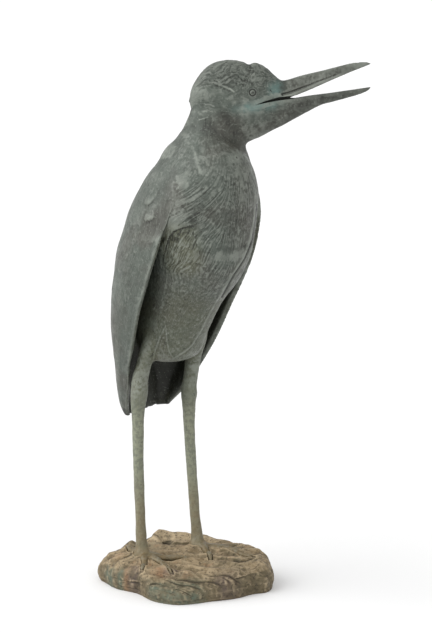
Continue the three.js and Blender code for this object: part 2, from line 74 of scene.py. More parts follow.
# Bare body: height, place of the widest line, half-width, depth in front of it and behind it.
BODY = (
    (0.352, 0.035, 0.030, 0.024, 0.022),
    (0.359, 0.033, 0.044, 0.038, 0.040),
    (0.372, 0.030, 0.050, 0.047, 0.058),
    (0.403, 0.018, 0.053, 0.051, 0.084),
    (0.447, -0.007, 0.055, 0.055, 0.112),
    (0.489, -0.034, 0.065, 0.066, 0.134),
    (0.525, -0.046, 0.075, 0.074, 0.138),
    (0.548, -0.041, 0.082, 0.084, 0.122),
    (0.568, -0.032, 0.088, 0.096, 0.110),
    (0.596, -0.028, 0.092, 0.104, 0.102),
    (0.623, -0.036, 0.088, 0.100, 0.096),
    (0.654, -0.045, 0.077, 0.087, 0.084),
    (0.678, -0.050, 0.062, 0.073, 0.072),
    (0.695, -0.050, 0.050, 0.058, 0.058),
    (0.712, -0.049, 0.038, 0.042, 0.042),
    (0.728, -0.048, 0.026, 0.028, 0.028),
)
BREAST_NARROWING = 0.07

# Folded wing on an oval round the body: height, oval's middle, half-width, half-depth, then in
# degrees from the side (0) to the back (90) the front edge of the left and of the right wing
# and the rear edge of both.
WING = (
    (0.672, -0.048, 0.062, 0.070, 0, 0, 80),
    (0.654, -0.044, 0.0765, 0.086, -14, -14, 90),
    (0.623, -0.034, 0.0875, 0.0995, -25, -25, 94),
    (0.592, -0.024, 0.097, 0.105, -28, -28, 94),
    (0.561, -0.015, 0.103, 0.106, -27, -27, 94),
    (0.529, -0.002, 0.105, 0.107, -28, -27, 94),
    (0.498, 0.009, 0.104, 0.101, -28, -26, 94),
    (0.466, 0.024, 0.101, 0.092, -30, -27, 94),
    (0.435, 0.036, 0.096, 0.085, -30, -25, 94),
    (0.403, 0.048, 0.091, 0.073, -34, -27, 94),
    (0.371, 0.058, 0.084, 0.059, -38, -27, 93),
    (0.339, 0.068, 0.075, 0.049, -37, -24, 88),
    (0.307, 0.077, 0.065, 0.045, -27, -21, 78),
    (0.284, 0.085, 0.057, 0.035, -24, -18, 68),
    (0.269, 0.090, 0.0505, 0.024, -16, -20, 62),
    (0.258, 0.092, 0.044, 0.013, -6, -28, 50),
)
LEFT_EDGE, RIGHT_EDGE, REAR_EDGE = 4, 5, 6
WING_SIDE_CURVE = 0.15
LEFT_TIP_LIFT = 0.0065
LEFT_LIFT_START = 0.345
WING_THICK = 0.011
WING_EDGE = 0.005
SPINE_VALLEY = 0.006
SPINE_VALLEY_WIDTH = 9

TAIL_TOP = 0.430
TAIL_BOTTOM = 0.260
TAIL_Y = 0.107
TAIL_HALF_WIDTH = 0.037
TAIL_THICK = 0.010
TAIL_BOW = 0.004
TAIL_END_SHARE = 0.94
TAIL_CORNER_RISE = 0.007

# Neck in level slices: height, place and half-size along the head's direction, and across it.
NECK = (
    (0.650, 0.029, 0.064, 0.062),
    (0.674, 0.0315, 0.069, 0.057),
    (0.688, 0.0325, 0.063, 0.050),
    (0.697, 0.035, 0.058, 0.045),
    (0.705, 0.041, 0.049, 0.040),
    (0.715, 0.0435, 0.0435, 0.035),
    (0.727, 0.0435, 0.043, 0.031),
    (0.740, 0.045, 0.038, 0.0285),
    (0.764, 0.046, 0.031, 0.025),
)

# Head and bill in upright slices: distance along the head, top, underside and half-width.
HEAD = (
    (0.009, 0.773, 0.758, 0.006),
    (0.0125, 0.784, 0.748, 0.013),
    (0.021, 0.7985, 0.737, 0.019),
    (0.034, 0.8135, 0.722, 0.0235),
    (0.050, 0.8218, 0.708, 0.026),
    (0.070, 0.8248, 0.698, 0.027),
    (0.089, 0.822, 0.697, 0.0265),
    (0.098, 0.8175, 0.6995, 0.0255),
    (0.106, 0.8205, 0.703, 0.024),
    (0.116, 0.818, 0.708, 0.0215),
    (0.127, 0.811, 0.714, 0.018),
    (0.136, 0.8025, 0.719, 0.0155),
    (0.148, 0.7945, 0.7245, 0.013),
    (0.160, 0.796, 0.731, 0.0115),
    (0.178, 0.8015, 0.741, 0.0098),
    (0.207, 0.8085, 0.756, 0.0076),
    (0.224, 0.8128, 0.7608, 0.0062),
    (0.252, 0.820, 0.7683, 0.004),
    (0.269, 0.822, 0.7734, 0.0028),
    (0.279, 0.8218, 0.7778, 0.0018),
    (0.2835, 0.8202, 0.7812, 0.0011),
)
MOUTH_UPPER = (
    (0.107, 0.7578), (0.122, 0.7634), (0.143, 0.7693), (0.160, 0.7708), (0.170, 0.772),
    (0.192, 0.7808), (0.222, 0.794), (0.252, 0.8067), (0.274, 0.8152), (0.294, 0.8234),
)
MOUTH_LOWER = (
    (0.294, 0.7856), (0.280, 0.7836), (0.252, 0.7794), (0.222, 0.775), (0.192, 0.771),
    (0.170, 0.7674), (0.143, 0.7642), (0.122, 0.7606),
)
MOUTH_HALF_WIDTH = 0.034
TONGUE_END = (0.1607, 0.7680)
TONGUE_HALF_WIDTH = 0.0025
EYE_Q = 0.1035
EYE_Z = 0.777
EYE_RADIUS = 0.0052
EYE_PROUD = 0.0026
EYE_RING = 0.0047
EYE_RING_WIDTH = 0.0008
NAPE_TUFT_FROM = (0.030, 0.790)
NAPE_TUFT_TO = (0.008, 0.761)
NAPE_TUFT_RADIUS = 0.008

# Legs as level slices: height, x, y and radius.
RIGHT_LEG = (
    (0.440, -0.022, 0.008, 0.019),
    (0.410, -0.033, 0.019, 0.0185),
    (0.380, -0.0433, 0.030, 0.0155),
    (0.352, -0.0504, 0.0368, 0.0128),
    (0.326, -0.0545, 0.042, 0.0128),
    (0.304, -0.0555, 0.0434, 0.0134),
    (0.288, -0.0574, 0.0431, 0.012),
    (0.270, -0.0593, 0.042, 0.0101),
    (0.250, -0.0607, 0.0405, 0.0092),
    (0.200, -0.0635, 0.0366, 0.0085),
    (0.110, -0.0666, 0.028, 0.0081),
    (0.074, -0.0678, 0.0244, 0.0086),
    (0.058, -0.0682, 0.0228, 0.0106),
    (0.046, -0.0684, 0.022, 0.015),
    (0.036, -0.0684, 0.022, 0.014),
)
LEFT_LEG = (
    (0.440, 0.024, 0.004, 0.019),
    (0.410, 0.036, 0.012, 0.019),
    (0.380, 0.043, 0.021, 0.017),
    (0.352, 0.0438, 0.0288, 0.0132),
    (0.326, 0.0422, 0.0325, 0.0116),
    (0.304, 0.0393, 0.0341, 0.012),
    (0.290, 0.0378, 0.0326, 0.0126),
    (0.276, 0.036, 0.0306, 0.0108),
    (0.246, 0.0332, 0.0272, 0.0092),
    (0.200, 0.0306, 0.0202, 0.0084),
    (0.110, 0.0268, 0.006, 0.0081),
    (0.076, 0.0258, -0.0004, 0.0086),
    (0.062, 0.0252, -0.003, 0.0106),
    (0.052, 0.025, -0.0044, 0.015),
    (0.042, 0.025, -0.0044, 0.014),
)
# Toes: where each ends in plan, and its sideways bow.
RIGHT_TOES = (
    (-0.018, -0.040, -0.007), (-0.076, -0.062, 0.005), (-0.106, -0.024, 0.004), (-0.064, 0.066, 0.004),
)
LEFT_TOES = (
    (0.076, -0.048, -0.005), (0.088, -0.080, -0.005), (0.062, -0.098, 0.004), (0.002, -0.064, 0.005),
)
TOE_RADIUS = 0.007
LEFT_ANKLE = 0.2937

# Rock plan from above, along the head's direction and rearward.
ROCK_PLAN = (
    (0.139, -0.048), (0.129, -0.076), (0.106, -0.087), (0.077, -0.111), (0.043, -0.124),
    (0.012, -0.138), (-0.013, -0.143), (-0.036, -0.134), (-0.054, -0.119), (-0.076, -0.083),
    (-0.108, -0.058), (-0.126, -0.028), (-0.136, 0.002), (-0.097, 0.028), (-0.062, 0.056),
    (-0.038, 0.076), (0.008, 0.078), (0.042, 0.068), (0.062, 0.056), (0.084, 0.043),
    (0.112, 0.026), (0.134, -0.008),
)
ROCK_CENTRE = (0.0, -0.028)
# The rock leans to its left: its foot stands right of the plan and its rim left of it.
ROCK_LEAN_FOOT = 0.002
ROCK_LEAN_RIM = -0.002
# Flank of the rock: height as a share of the rim's, and growth of the plan.
ROCK_FLANK = ((0.0, 0.985), (0.14, 1.0), (0.4, 1.012), (0.66, 0.995), (0.86, 0.955), (1.0, 0.89))
ROCK_HEIGHT = 0.049
ROCK_TILT = 0.1
STRATA_HEIGHT = 0.0019
STRATA_LENGTH = 0.025

# How steeply the breast's feathers sweep sideways, by height.
HACKLE_SLOPES = (
    (0.36, 0.05), (0.45, 0.09), (0.50, 0.21), (0.54, 0.47), (0.57, 0.80), (0.63, 0.84),
    (0.66, 0.47), (0.72, 0.18),
)
# Ends of the rows of coverts: share of the wing, then how many feathers lie side by side.
COVERT_ROWS = ((0.10, 11, 0.15), (0.235, 7, 0.6), (0.385, 6, 0.5))
# Two coverts at the shoulder that stand out: their middle in y, and the height of their tip.
COVERT_TIPS = ((-0.0210, 0.6075), (-0.0290, 0.5835))
COVERT_TIP_RADIUS = 0.0108

# Lines on the side that the bird turns outwards: along the head's direction, height.
BROW_RIDGE = ((0.030, 0.7925), (0.0468, 0.7915), (0.0573, 0.789), (0.065, 0.7855), (0.0724, 0.7805))
NECK_STREAKS = (((0.013, 0.6970), (0.0165, 0.6870), (0.021, 0.6714), (0.0245, 0.6610)),)
BROW_STROKES = (
    ((0.053, 0.7885), (0.060, 0.7862)), ((0.0615, 0.7860), (0.0675, 0.7825)),
    ((0.0690, 0.7828), (0.0752, 0.7785)),
)
CHEEK_LEAVES = (
    ((0.032, 0.7588), (0.040, 0.7590), (0.0455, 0.7562)),
    ((0.029, 0.7482), (0.036, 0.7495), (0.0430, 0.7485)),
    ((0.023, 0.7360), (0.030, 0.7381), (0.0355, 0.7402)),
)
KEEL = (
    (0.1077, 0.6152), (0.1066, 0.5838), (0.0997, 0.5541), (0.0882, 0.5246), (0.0701, 0.4965),
    (0.0552, 0.4675), (0.0387, 0.4344), (0.0277, 0.4087), (0.0119, 0.382), (0.0008, 0.3723),
    (-0.0167, 0.3612),
)
LEFT_WING_LINE = (
    (0.1115, 0.6065), (0.1105, 0.5906), (0.1045, 0.5526), (0.0934, 0.527), (0.0752, 0.4994),
    (0.0590, 0.4627),
)
LOBE_EDGE = ((-0.0294, 0.4225), (-0.0279, 0.4093), (-0.0264, 0.3909), (-0.0234, 0.374), (-0.0167, 0.3612))
THIGH_SEAM = ((-0.0278, 0.4176), (-0.0373, 0.3969), (-0.0453, 0.3728), (-0.0485, 0.3571))
HEAD_CREASE = (
    (0.016, 0.752), (0.030, 0.758), (0.045, 0.760), (0.060, 0.752), (0.075, 0.730), (0.095, 0.7065),
)
CROWN_NOTCH = ((0.098, 0.822), (0.098, 0.807), (0.096, 0.792))
FLANK_LAP = (
    (0.000, 0.579), (-0.008, 0.5765), (-0.016, 0.572), (-0.022, 0.565), (-0.026, 0.553), (-0.028, 0.545),
)
BILL_GROOVE = ((0.150, 0.7735), (0.162, 0.7768), (0.1865, 0.7858), (0.2047, 0.7934), (0.229, 0.802))

# Folds on the rock's front: along the head's direction, height.
ROCK_LEDGE = (
    (-0.0687, 0.0221), (-0.0394, 0.0299), (-0.0108, 0.0318), (0.0277, 0.0345), (0.0470, 0.0343),
    (0.0661, 0.0289),
    (0.0779, 0.0299),
)
ROCK_CREASES = (
    ((0.0209, 0.0272), (0.0209, 0.0179), (0.0209, 0.0068)),
    ((-0.0747, 0.0237), (-0.0731, 0.0144), (-0.0717, 0.0042)),
)
ROCK_HOLE = (-0.0253, 0.0385, 0.0065)
# Folds on the rock's top: along the head's direction, rearward.
ROCK_FURROW = ((0.0581, -0.0185), (0.0854, -0.0297), (0.1124, -0.0445))
ROCK_SPINE = ((0.0445, -0.0028), (0.0809, -0.0175))
# Knobs and the hollow on its top: along the head's direction, rearward, rise, radius.
ROCK_KNOBS = ((-0.043, 0.064, 0.005, 0.013), (-0.088, 0.024, 0.004, 0.012), (-0.029, 0.041, -0.009, 0.010))
# Stains on the rock: along the head's direction, rearward, reach.
ORANGE_STAINS = (
    (-0.1040, -0.0180, 0.009), (-0.0633, -0.0664, 0.011), (-0.0378, -0.0938, 0.012),
    (-0.0906, -0.0718, 0.006),
)
PURPLE_STAINS = ((-0.0767, -0.0763, 0.012), (-0.0186, -0.0893, 0.013), (0.0661, -0.1104, 0.018))
GREEN_STAINS = (
    (-0.0400, -0.1260, 0.016), (-0.0184, -0.1360, 0.024), (0.0092, -0.1340, 0.022),
    (-0.1240, -0.0400, 0.009),
    (-0.1180, -0.0480, 0.008), (-0.0990, -0.0640, 0.006),
)
SAND_STAINS = (
    (-0.0549, 0.0455, 0.018), (-0.0259, 0.0540, 0.016), (0.0048, 0.0491, 0.020), (0.0400, 0.0450, 0.018),
)


# Numbers and noise

def curve_through(before, start, end, after, share):
    """A smooth curve's point between start and end, from its neighbours on both sides."""
    rise, leave = (end - before) / 2, (after - start) / 2
    cubic = 2 * start - 2 * end + rise + leave
    square = -3 * start + 3 * end - 2 * rise - leave
    return ((cubic * share + square) * share + rise) * share + start


def measure(table, column, place):
    """One measure at places along a table's rows, on a smooth curve."""
    values = np.array([row[column] for row in table], float)
    place = np.asarray(place, float)
    index = np.minimum(np.floor(place).astype(int), len(values) - 2)
    corners = (values[np.clip(index + step, 0, len(values) - 1)] for step in (-1, 0, 1, 2))
    return curve_through(*corners, place - index)


def at_height(table, column, z):
    """One measure at given heights, for a table whose first column is height."""
    heights = np.array([row[0] for row in table], float)
    values = np.array([row[column] for row in table], float)
    order = np.argsort(heights)
    return np.interp(z, heights[order], values[order])


def smooth_step(low, high, value):
    share = np.clip((value - low) / (high - low), 0, 1)
    return share * share * (3 - 2 * share)


def bell(distance, width):
    """1 in the middle, falling away smoothly with distance."""
    return np.exp(-((distance / width) ** 2))


def scatter(index, seed):
    """A fixed number from 0 to 1 for each whole number."""
    value = np.sin(index * 12.9898 + seed * 78.233) * 43758.5453
    return value - np.floor(value)


def noise(points, size, seed):
    """Smooth noise from -1 to 1 whose features have the given size, one number or three."""
    scaled = points / size
    cell = np.floor(scaled).astype(np.int64)
    part = scaled - cell
    part = part ** 3 * (part * (part * 6 - 15) + 10)
    total = np.zeros(len(points))
    for corner in np.ndindex(2, 2, 2):
        where = (cell + corner) * (73856093, 19349663, 83492791)
        key = (where[:, 0] ^ where[:, 1] ^ where[:, 2]) + seed * 15485863
        key = ((key ^ (key >> 15)) * 2246822519) & 0xFFFFFFFF
        key = ((key ^ (key >> 13)) * 3266489917) & 0xFFFFFFFF
        value = ((key ^ (key >> 16)) & 0xFFFF) / 32767.5 - 1
        weight = np.prod(np.where(corner, part, 1 - part), axis=1)
        total += weight * value
    return total


def rough_noise(points, size, seed, octaves=3):
    """Noise with finer noise on it."""
    total = np.zeros(len(points))
    for octave in range(octaves):
        total += noise(points, np.asarray(size) / 2 ** octave, seed + octave) / 2 ** octave
    return total / 1.6


def near_line(q, z, line):
    """Distance to a line of points, and which side of it a place is on: 1 is left of its run."""
    nearest = np.full(len(q), np.inf)
    side = np.ones(len(q))
    for (q0, z0), (q1, z1) in zip(line, line[1:]):
        run_q, run_z = q1 - q0, z1 - z0
        share = ((q - q0) * run_q + (z - z0) * run_z) / (run_q ** 2 + run_z ** 2)
        share = np.clip(share, 0, 1)
        away_q, away_z = q - q0 - share * run_q, z - z0 - share * run_z
        distance = np.hypot(away_q, away_z)
        closer = distance < nearest
        nearest = np.where(closer, distance, nearest)
        side = np.where(closer, np.sign(run_q * away_z - run_z * away_q), side)
    return nearest, side


def feathers(along, across, length, width, seed, blunt=2.5):
    """Height from 0 to 1 of overlapping feathers that rise towards their rounded tips."""
    top = np.zeros(len(along))
    for layer in range(2):
        column = across / width + 0.5 * layer
        index = np.floor(column)
        side = 2 * np.abs(column - index - 0.5)
        row = along / length + scatter(index, seed + layer)
        run = row - np.floor(row)
        inside = side < np.sqrt(np.clip(1 - run ** blunt, 0, 1))
        top = np.maximum(top, inside * (0.25 + 0.75 * run) * (1 - 0.35 * side ** 2))
    return top


def strokes(along, across, length, width, seed):
    """Fine hair-like ridges that run along, from 0 to 1."""
    points = np.stack([along / length, across / width, np.zeros(len(along))], 1)
    points[:, 1] += 0.8 * noise(points, (2.0, 3.0, 1.0), seed)
    return 1 - np.abs(noise(points, 1.0, seed + 5)) * 2


# Meshes

def loft(rings):
    """Vertices and faces of a closed body through rings of points, shaped (rings, sides, 3)."""
    count, sides = rings.shape[:2]
    grid = np.arange(count * sides).reshape(count, sides)
    turned = np.roll(grid, -1, axis=1)
    quads = np.stack([grid[:-1], turned[:-1], turned[1:], grid[1:]], -1).reshape(-1, 4)
    faces = quads.tolist()
    faces.append(grid[0, ::-1].tolist())
    faces.append(grid[-1].tolist())
    return rings.reshape(-1, 3), faces


def mesh_object(name, bodies):
    """One object from several closed bodies, with every face turned outwards."""
    vertices, faces, start = [], [], 0
    for points, body_faces in bodies:
        vertices.append(points)
        faces += [[i + start for i in face] for face in body_faces]
        start += len(points)
    mesh = bpy.data.meshes.new(name)
    mesh.from_pydata(np.concatenate(vertices).tolist(), [], faces)
    mesh.update()
    work = bmesh.new()
    work.from_mesh(mesh)
    bmesh.ops.recalc_face_normals(work, faces=work.faces)
    work.to_mesh(mesh)
    work.free()
    made = bpy.data.objects.new(name, mesh)
    bpy.context.scene.collection.objects.link(made)
    return made


def apply_modifier(thing, kind, **values):
    """Adds one modifier with the given values and makes its result the mesh."""
    modifier = thing.modifiers.new(kind.title(), kind)
    for key, value in values.items():
        setattr(modifier, key, value)
    graph = bpy.context.evaluated_depsgraph_get()
    made = bpy.data.meshes.new_from_object(thing.evaluated_get(graph), depsgraph=graph)
    thing.modifiers.clear()
    old = thing.data
    thing.data = made
    bpy.data.meshes.remove(old)


def read_rows(items, name, width, kind=np.float32):
    """One value of every vertex or edge, as rows of numbers."""
    values = np.empty(len(items) * width, kind)
    items.foreach_get(name, values)
    return values.reshape(-1, width)


def points_of(mesh):
    return read_rows(mesh.vertices, "co", 3).astype(float)


def normals_of(mesh):
    return read_rows(mesh.vertex_normals, "vector", 3).astype(float)


def edges_of(mesh):
    return read_rows(mesh.edges, "vertices", 2, np.int32)


def set_points(mesh, points):
    mesh.vertices.foreach_set("co", points.astype(np.float32).ravel())
    mesh.update()


def neighbour_mean(values, edges):
    """Mean of each vertex's neighbours."""
    count = np.bincount(edges.ravel(), minlength=len(values))
    columns = []
    for column in values.T:
        total = np.bincount(edges[:, 0], column[edges[:, 1]], len(values))
        total += np.bincount(edges[:, 1], column[edges[:, 0]], len(values))
        columns.append(total / np.maximum(count, 1))
    return np.stack(columns, 1)


def relax(points, edges, weight, rounds):
    """Smooths points where weight is above 0."""
    moving = np.where(weight > 0)[0]
    near = edges[(weight[edges] > 0).any(axis=1)]
    used, local = np.unique(near, return_inverse=True)
    local = local.reshape(near.shape)
    share = 0.6 * weight[used][:, None]
    part = points[used]
    for _ in range(rounds if len(moving) else 0):
        part = part + (neighbour_mean(part, local) - part) * share
    points = points.copy()
    points[used] = part
    return points


def hollowness(mesh, rounds):
    """How far the surface lies below its smoothed self, in metres: above 0 in a hollow."""
    points, normals, edges = points_of(mesh), normals_of(mesh), edges_of(mesh)
    soft = points
    for _ in range(rounds):
        soft = neighbour_mean(soft, edges)
    return ((soft - points) * normals).sum(1)


def store(mesh, name, values):
    attribute = mesh.attributes.new(name, "FLOAT", "POINT")
    attribute.data.foreach_set("value", values.astype(np.float32))


# The bird's form

def head_point(q, z, side=0.0):
    """Places in the head's own plane, moved sideways, from arrays."""
    q, z, side = np.broadcast_arrays(q, z, side)
    return q[..., None] * FORWARD + (side - HEAD_SHIFT)[..., None] * REARWARD + z[..., None] * UP


def round_turn(sides):
    """Evenly spaced angles of a full turn."""
    return np.linspace(0, 2 * np.pi, sides, endpoint=False)


def sections(table, rings, sides):
    """The angles round a ring as a row, then each measure along the table as a column."""
    place = np.linspace(0, len(table) - 1, rings)[:, None]
    return round_turn(sides)[None, :], *(measure(table, c, place) for c in range(len(table[0])))


def body_form():
    angle, z, y, across, front_depth, rear_depth = sections(BODY, 200, 240)
    front = np.maximum(0, -np.sin(angle))
    width = across * (1 - BREAST_NARROWING * front)
    depth = np.where(front > 0, front_depth, rear_depth)
    x = width * np.cos(angle)
    return loft(np.stack([x, y + depth * np.sin(angle), z + 0 * x], -1))


def wing_form(side, rings=220, outer=150, inner=50):
    share = np.linspace(0, 1, rings)[:, None]
    place = share * (len(WING) - 1)
    z, y, across, along = (measure(WING, c, place) for c in range(4))
    front = measure(WING, LEFT_EDGE if side > 0 else RIGHT_EDGE, place)
    back = measure(WING, REAR_EDGE, place)
    low = np.maximum(0, (LEFT_LIFT_START - z) / (LEFT_LIFT_START - WING[-1][0]))
    z = z + (LEFT_TIP_LIFT * low if side > 0 else 0)
    thick = WING_THICK * np.minimum(1, along / 0.040)
    outer_share = np.linspace(0, 1, outer)[None, :]
    inner_share = np.linspace(1, 0, inner)[None, :]
    outer_angle = front + (back - front) * outer_share
    valley = SPINE_VALLEY * bell(90 - outer_angle, SPINE_VALLEY_WIDTH)
    inner_angle = front + (back - front) * inner_share
    swell = np.sin(np.pi * np.minimum(1, 1.6 * inner_share + 0.12))
    inner_inset = 0.001 + WING_EDGE + (thick - WING_EDGE) * np.maximum(0.35, swell)
    angle = np.radians(np.concatenate([outer_angle, inner_angle], 1))
    inset = np.concatenate([valley, inner_inset], 1)
    width = np.cos(angle) ** np.where(angle < 0, WING_SIDE_CURVE, 1)
    x = side * (across - inset) * width
    return loft(np.stack([x, y + (along - inset) * np.sin(angle), z + 0 * x], -1))


def tail_form(rings=90, sides=80):
    share = np.linspace(0, 1, rings)[:, None]
    angle = round_turn(sides)[None, :]
    narrow = 1 - (1 - TAIL_END_SHARE) * smooth_step(0.88, 1, share)
    x = TAIL_HALF_WIDTH * narrow * np.cos(angle)
    y = TAIL_Y + TAIL_BOW * np.sin(np.pi * share) + TAIL_THICK / 2 * np.sin(angle)
    rounding = TAIL_CORNER_RISE * (np.cos(angle) ** 2) * smooth_step(0.5, 1, share)
    z = TAIL_TOP + (TAIL_BOTTOM - TAIL_TOP) * share + rounding
    return loft(np.stack([x, y, z], -1))


def neck_form():
    angle, z, q, along, across = sections(NECK, 90, 160)
    return loft(head_point(q + along * np.cos(angle), z, across * np.sin(angle)))


def head_form():
    angle, q, top, under, half = sections(HEAD, 320, 120)
    z = (top + under) / 2 + (top - under) / 2 * np.sin(angle)
    return loft(head_point(q, z, half * np.cos(angle)))


def bar(path, radii, sides=32):
    """Round bar along an (n, 3) path with a radius at each point."""
    run = np.gradient(path, axis=0)
    run /= np.linalg.norm(run, axis=1)[:, None]
    helper = np.where(np.abs(run[:, 2:]) > 0.9, np.array([0.0, 1.0, 0.0]), UP)
    first = np.cross(helper, run)
    first /= np.linalg.norm(first, axis=1)[:, None]
    second = np.cross(run, first)
    angle = round_turn(sides)
    ring = first[:, None] * np.cos(angle)[:, None] + second[:, None] * np.sin(angle)[:, None]
    return loft(path[:, None] + ring * np.asarray(radii)[:, None, None])


def tuft_form():
    share = np.linspace(0, 1, 40)
    q = NAPE_TUFT_FROM[0] + (NAPE_TUFT_TO[0] - NAPE_TUFT_FROM[0]) * share
    z = NAPE_TUFT_FROM[1] + (NAPE_TUFT_TO[1] - NAPE_TUFT_FROM[1]) * share
    radii = NAPE_TUFT_RADIUS * np.interp(share, (0, 0.35, 0.7, 1), (1, 1, 0.75, 0.2))
    return bar(head_point(q, z), radii)


def ball_form(centre, radius, rings=24, sides=32):
    rise = np.linspace(-0.98, 0.98, rings) * np.pi / 2
    angle = round_turn(sides)[None, :]
    x, y = np.cos(rise)[:, None] * np.cos(angle), np.cos(rise)[:, None] * np.sin(angle)
    z = np.sin(rise)[:, None] + 0 * angle
    return loft(np.asarray(centre) + radius * np.stack([x, y, z], -1))


def head_half_width(q, z):
    stations = [row[0] for row in HEAD]
    top, under, half = (np.interp(q, stations, [row[c] for row in HEAD]) for c in (1, 2, 3))
    return half * np.sqrt(np.maximum(0, 1 - ((z - (top + under) / 2) / ((top - under) / 2)) ** 2))


def eye_forms():
    depth = head_half_width(EYE_Q, EYE_Z) + EYE_PROUD - EYE_RADIUS
    return [ball_form(head_point(EYE_Q, EYE_Z, side * depth), EYE_RADIUS) for side in (-1, 1)]


def leg_form(table):
    angle, z, x, y, radius = sections(table, 260, 48)
    return loft(np.stack([x + radius * np.cos(angle), y + radius * np.sin(angle), z + 0 * angle], -1))


def toe_form(foot, toe, rings=70):
    share = np.linspace(0, 1, rings)
    plan = toe_path(foot, toe, rings)
    taper = 1 - 0.45 * share ** 1.5
    knuckle = 1 + 0.1 * np.cos(6 * np.pi * share)
    tip = 1 - smooth_step(0.9, 1, share) * 0.6
    radii = TOE_RADIUS * taper * knuckle * tip
    lift = 0.0015 + 0.003 * (1 - share) ** 2
    q, d = plan @ FORWARD[:2], plan @ REARWARD[:2]
    z = rock_top(q, d) + lift - 0.15 * radii
    return bar(np.column_stack([plan, z]), radii, 28)


def mouth_slab(outline, inner, outer):
    """The mouth's outline as a body between two distances from the head's middle plane."""
    outline = np.array(outline)
    sides = np.array([inner, outer])[:, None]
    return loft(head_point(outline[None, :, 0], outline[None, :, 1], sides))


def mouth_cutters():
    """The open gape in front, and a deeper slit on each side that leaves the tongue between them."""
    whole = MOUTH_UPPER + MOUTH_LOWER
    open_part = (TONGUE_END, *(corner for corner in whole if corner[0] > TONGUE_END[0] + 0.001))
    slits = [mouth_slab(whole, side * TONGUE_HALF_WIDTH, side * MOUTH_HALF_WIDTH) for side in (-1, 1)]
    return [mouth_slab(open_part, -MOUTH_HALF_WIDTH, MOUTH_HALF_WIDTH)], slits


def bird_bodies():
    bodies = [body_form(), neck_form(), tail_form(), head_form(), tuft_form()]
    bodies += [wing_form(side) for side in (-1, 1)] + eye_forms()
    for leg, toes in ((RIGHT_LEG, RIGHT_TOES), (LEFT_LEG, LEFT_TOES)):
        bodies.append(leg_form(leg))
        bodies += [toe_form(leg[-1], toe) for toe in toes]
    return bodies


# Feathers and other relief of the bird

def wing_places(points):
    """Where places lie on the wing: outside its oval, across it in degrees and as a share, along it."""
    x, y, z = points.T
    lift = LEFT_TIP_LIFT * np.clip((LEFT_LIFT_START - z) / (LEFT_LIFT_START - WING[-1][0]), 0, 1)
    left = x > 0
    z = np.where(left, z - lift, z)
    middle, across, along = (at_height(WING, c, z) for c in (1, 2, 3))
    front = np.where(left, at_height(WING, LEFT_EDGE, z), at_height(WING, RIGHT_EDGE, z))
    back = at_height(WING, REAR_EDGE, z)
    rise = np.clip((y - middle) / along, -0.999, 0.999)
    radius = np.hypot(x / across, (y - middle) / along)
    side_out = np.abs(x) - across * (1 - rise ** 2) ** (WING_SIDE_CURVE / 2)
    outside = np.where(rise < 0, side_out, (radius - 1) * np.minimum(across, along))
    rear_angle = np.degrees(np.arctan2((y - middle) / along, np.abs(x) / across))
    past_front = np.where(rise < 0, np.degrees(np.arcsin(rise)), rear_angle) - front
    shares = [(row[0], 1 - i / (len(WING) - 1)) for i, row in enumerate(WING)]
    share = np.interp(z, *np.array(shares)[::-1].T)
    outward = np.stack([x / across ** 2, (y - middle) / along ** 2], 1)
    outward /= np.linalg.norm(outward, axis=1)[:, None] + 1e-9
    return outside, past_front, np.clip(past_front / (back - front), 0, 1), 1 - share, outward


def body_places(points):
    """The turn from the middle of the breast towards the back, and the way outside the bare body."""
    x, y, z = points.T
    level = np.clip(z, BODY[0][0], BODY[-1][0])
    middle, across, front_depth, rear_depth = (at_height(BODY, c, level) for c in (1, 2, 3, 4))
    depth = np.where(y < middle, front_depth, rear_depth)
    radius = np.hypot(x / across, (y - middle) / depth)
    return np.arctan2(np.abs(x), middle - y), (radius - 1) * np.minimum(across, depth)


def leg_distance(points, table):
    """How far places lie outside a leg."""
    z = np.clip(points[:, 2], table[-1][0], table[0][0])
    x, y, radius = (at_height(table, c, z) for c in (1, 2, 3))
    return np.hypot(points[:, 0] - x, points[:, 1] - y) - radius


def sideways_run(z):
    """How far the breast's feathers have swept sideways by a height."""
    heights = np.linspace(0.30, 0.80, 200)
    slope = np.interp(heights, *np.array(HACKLE_SLOPES).T)
    return np.interp(z, heights, np.cumsum(slope) * (heights[1] - heights[0]))


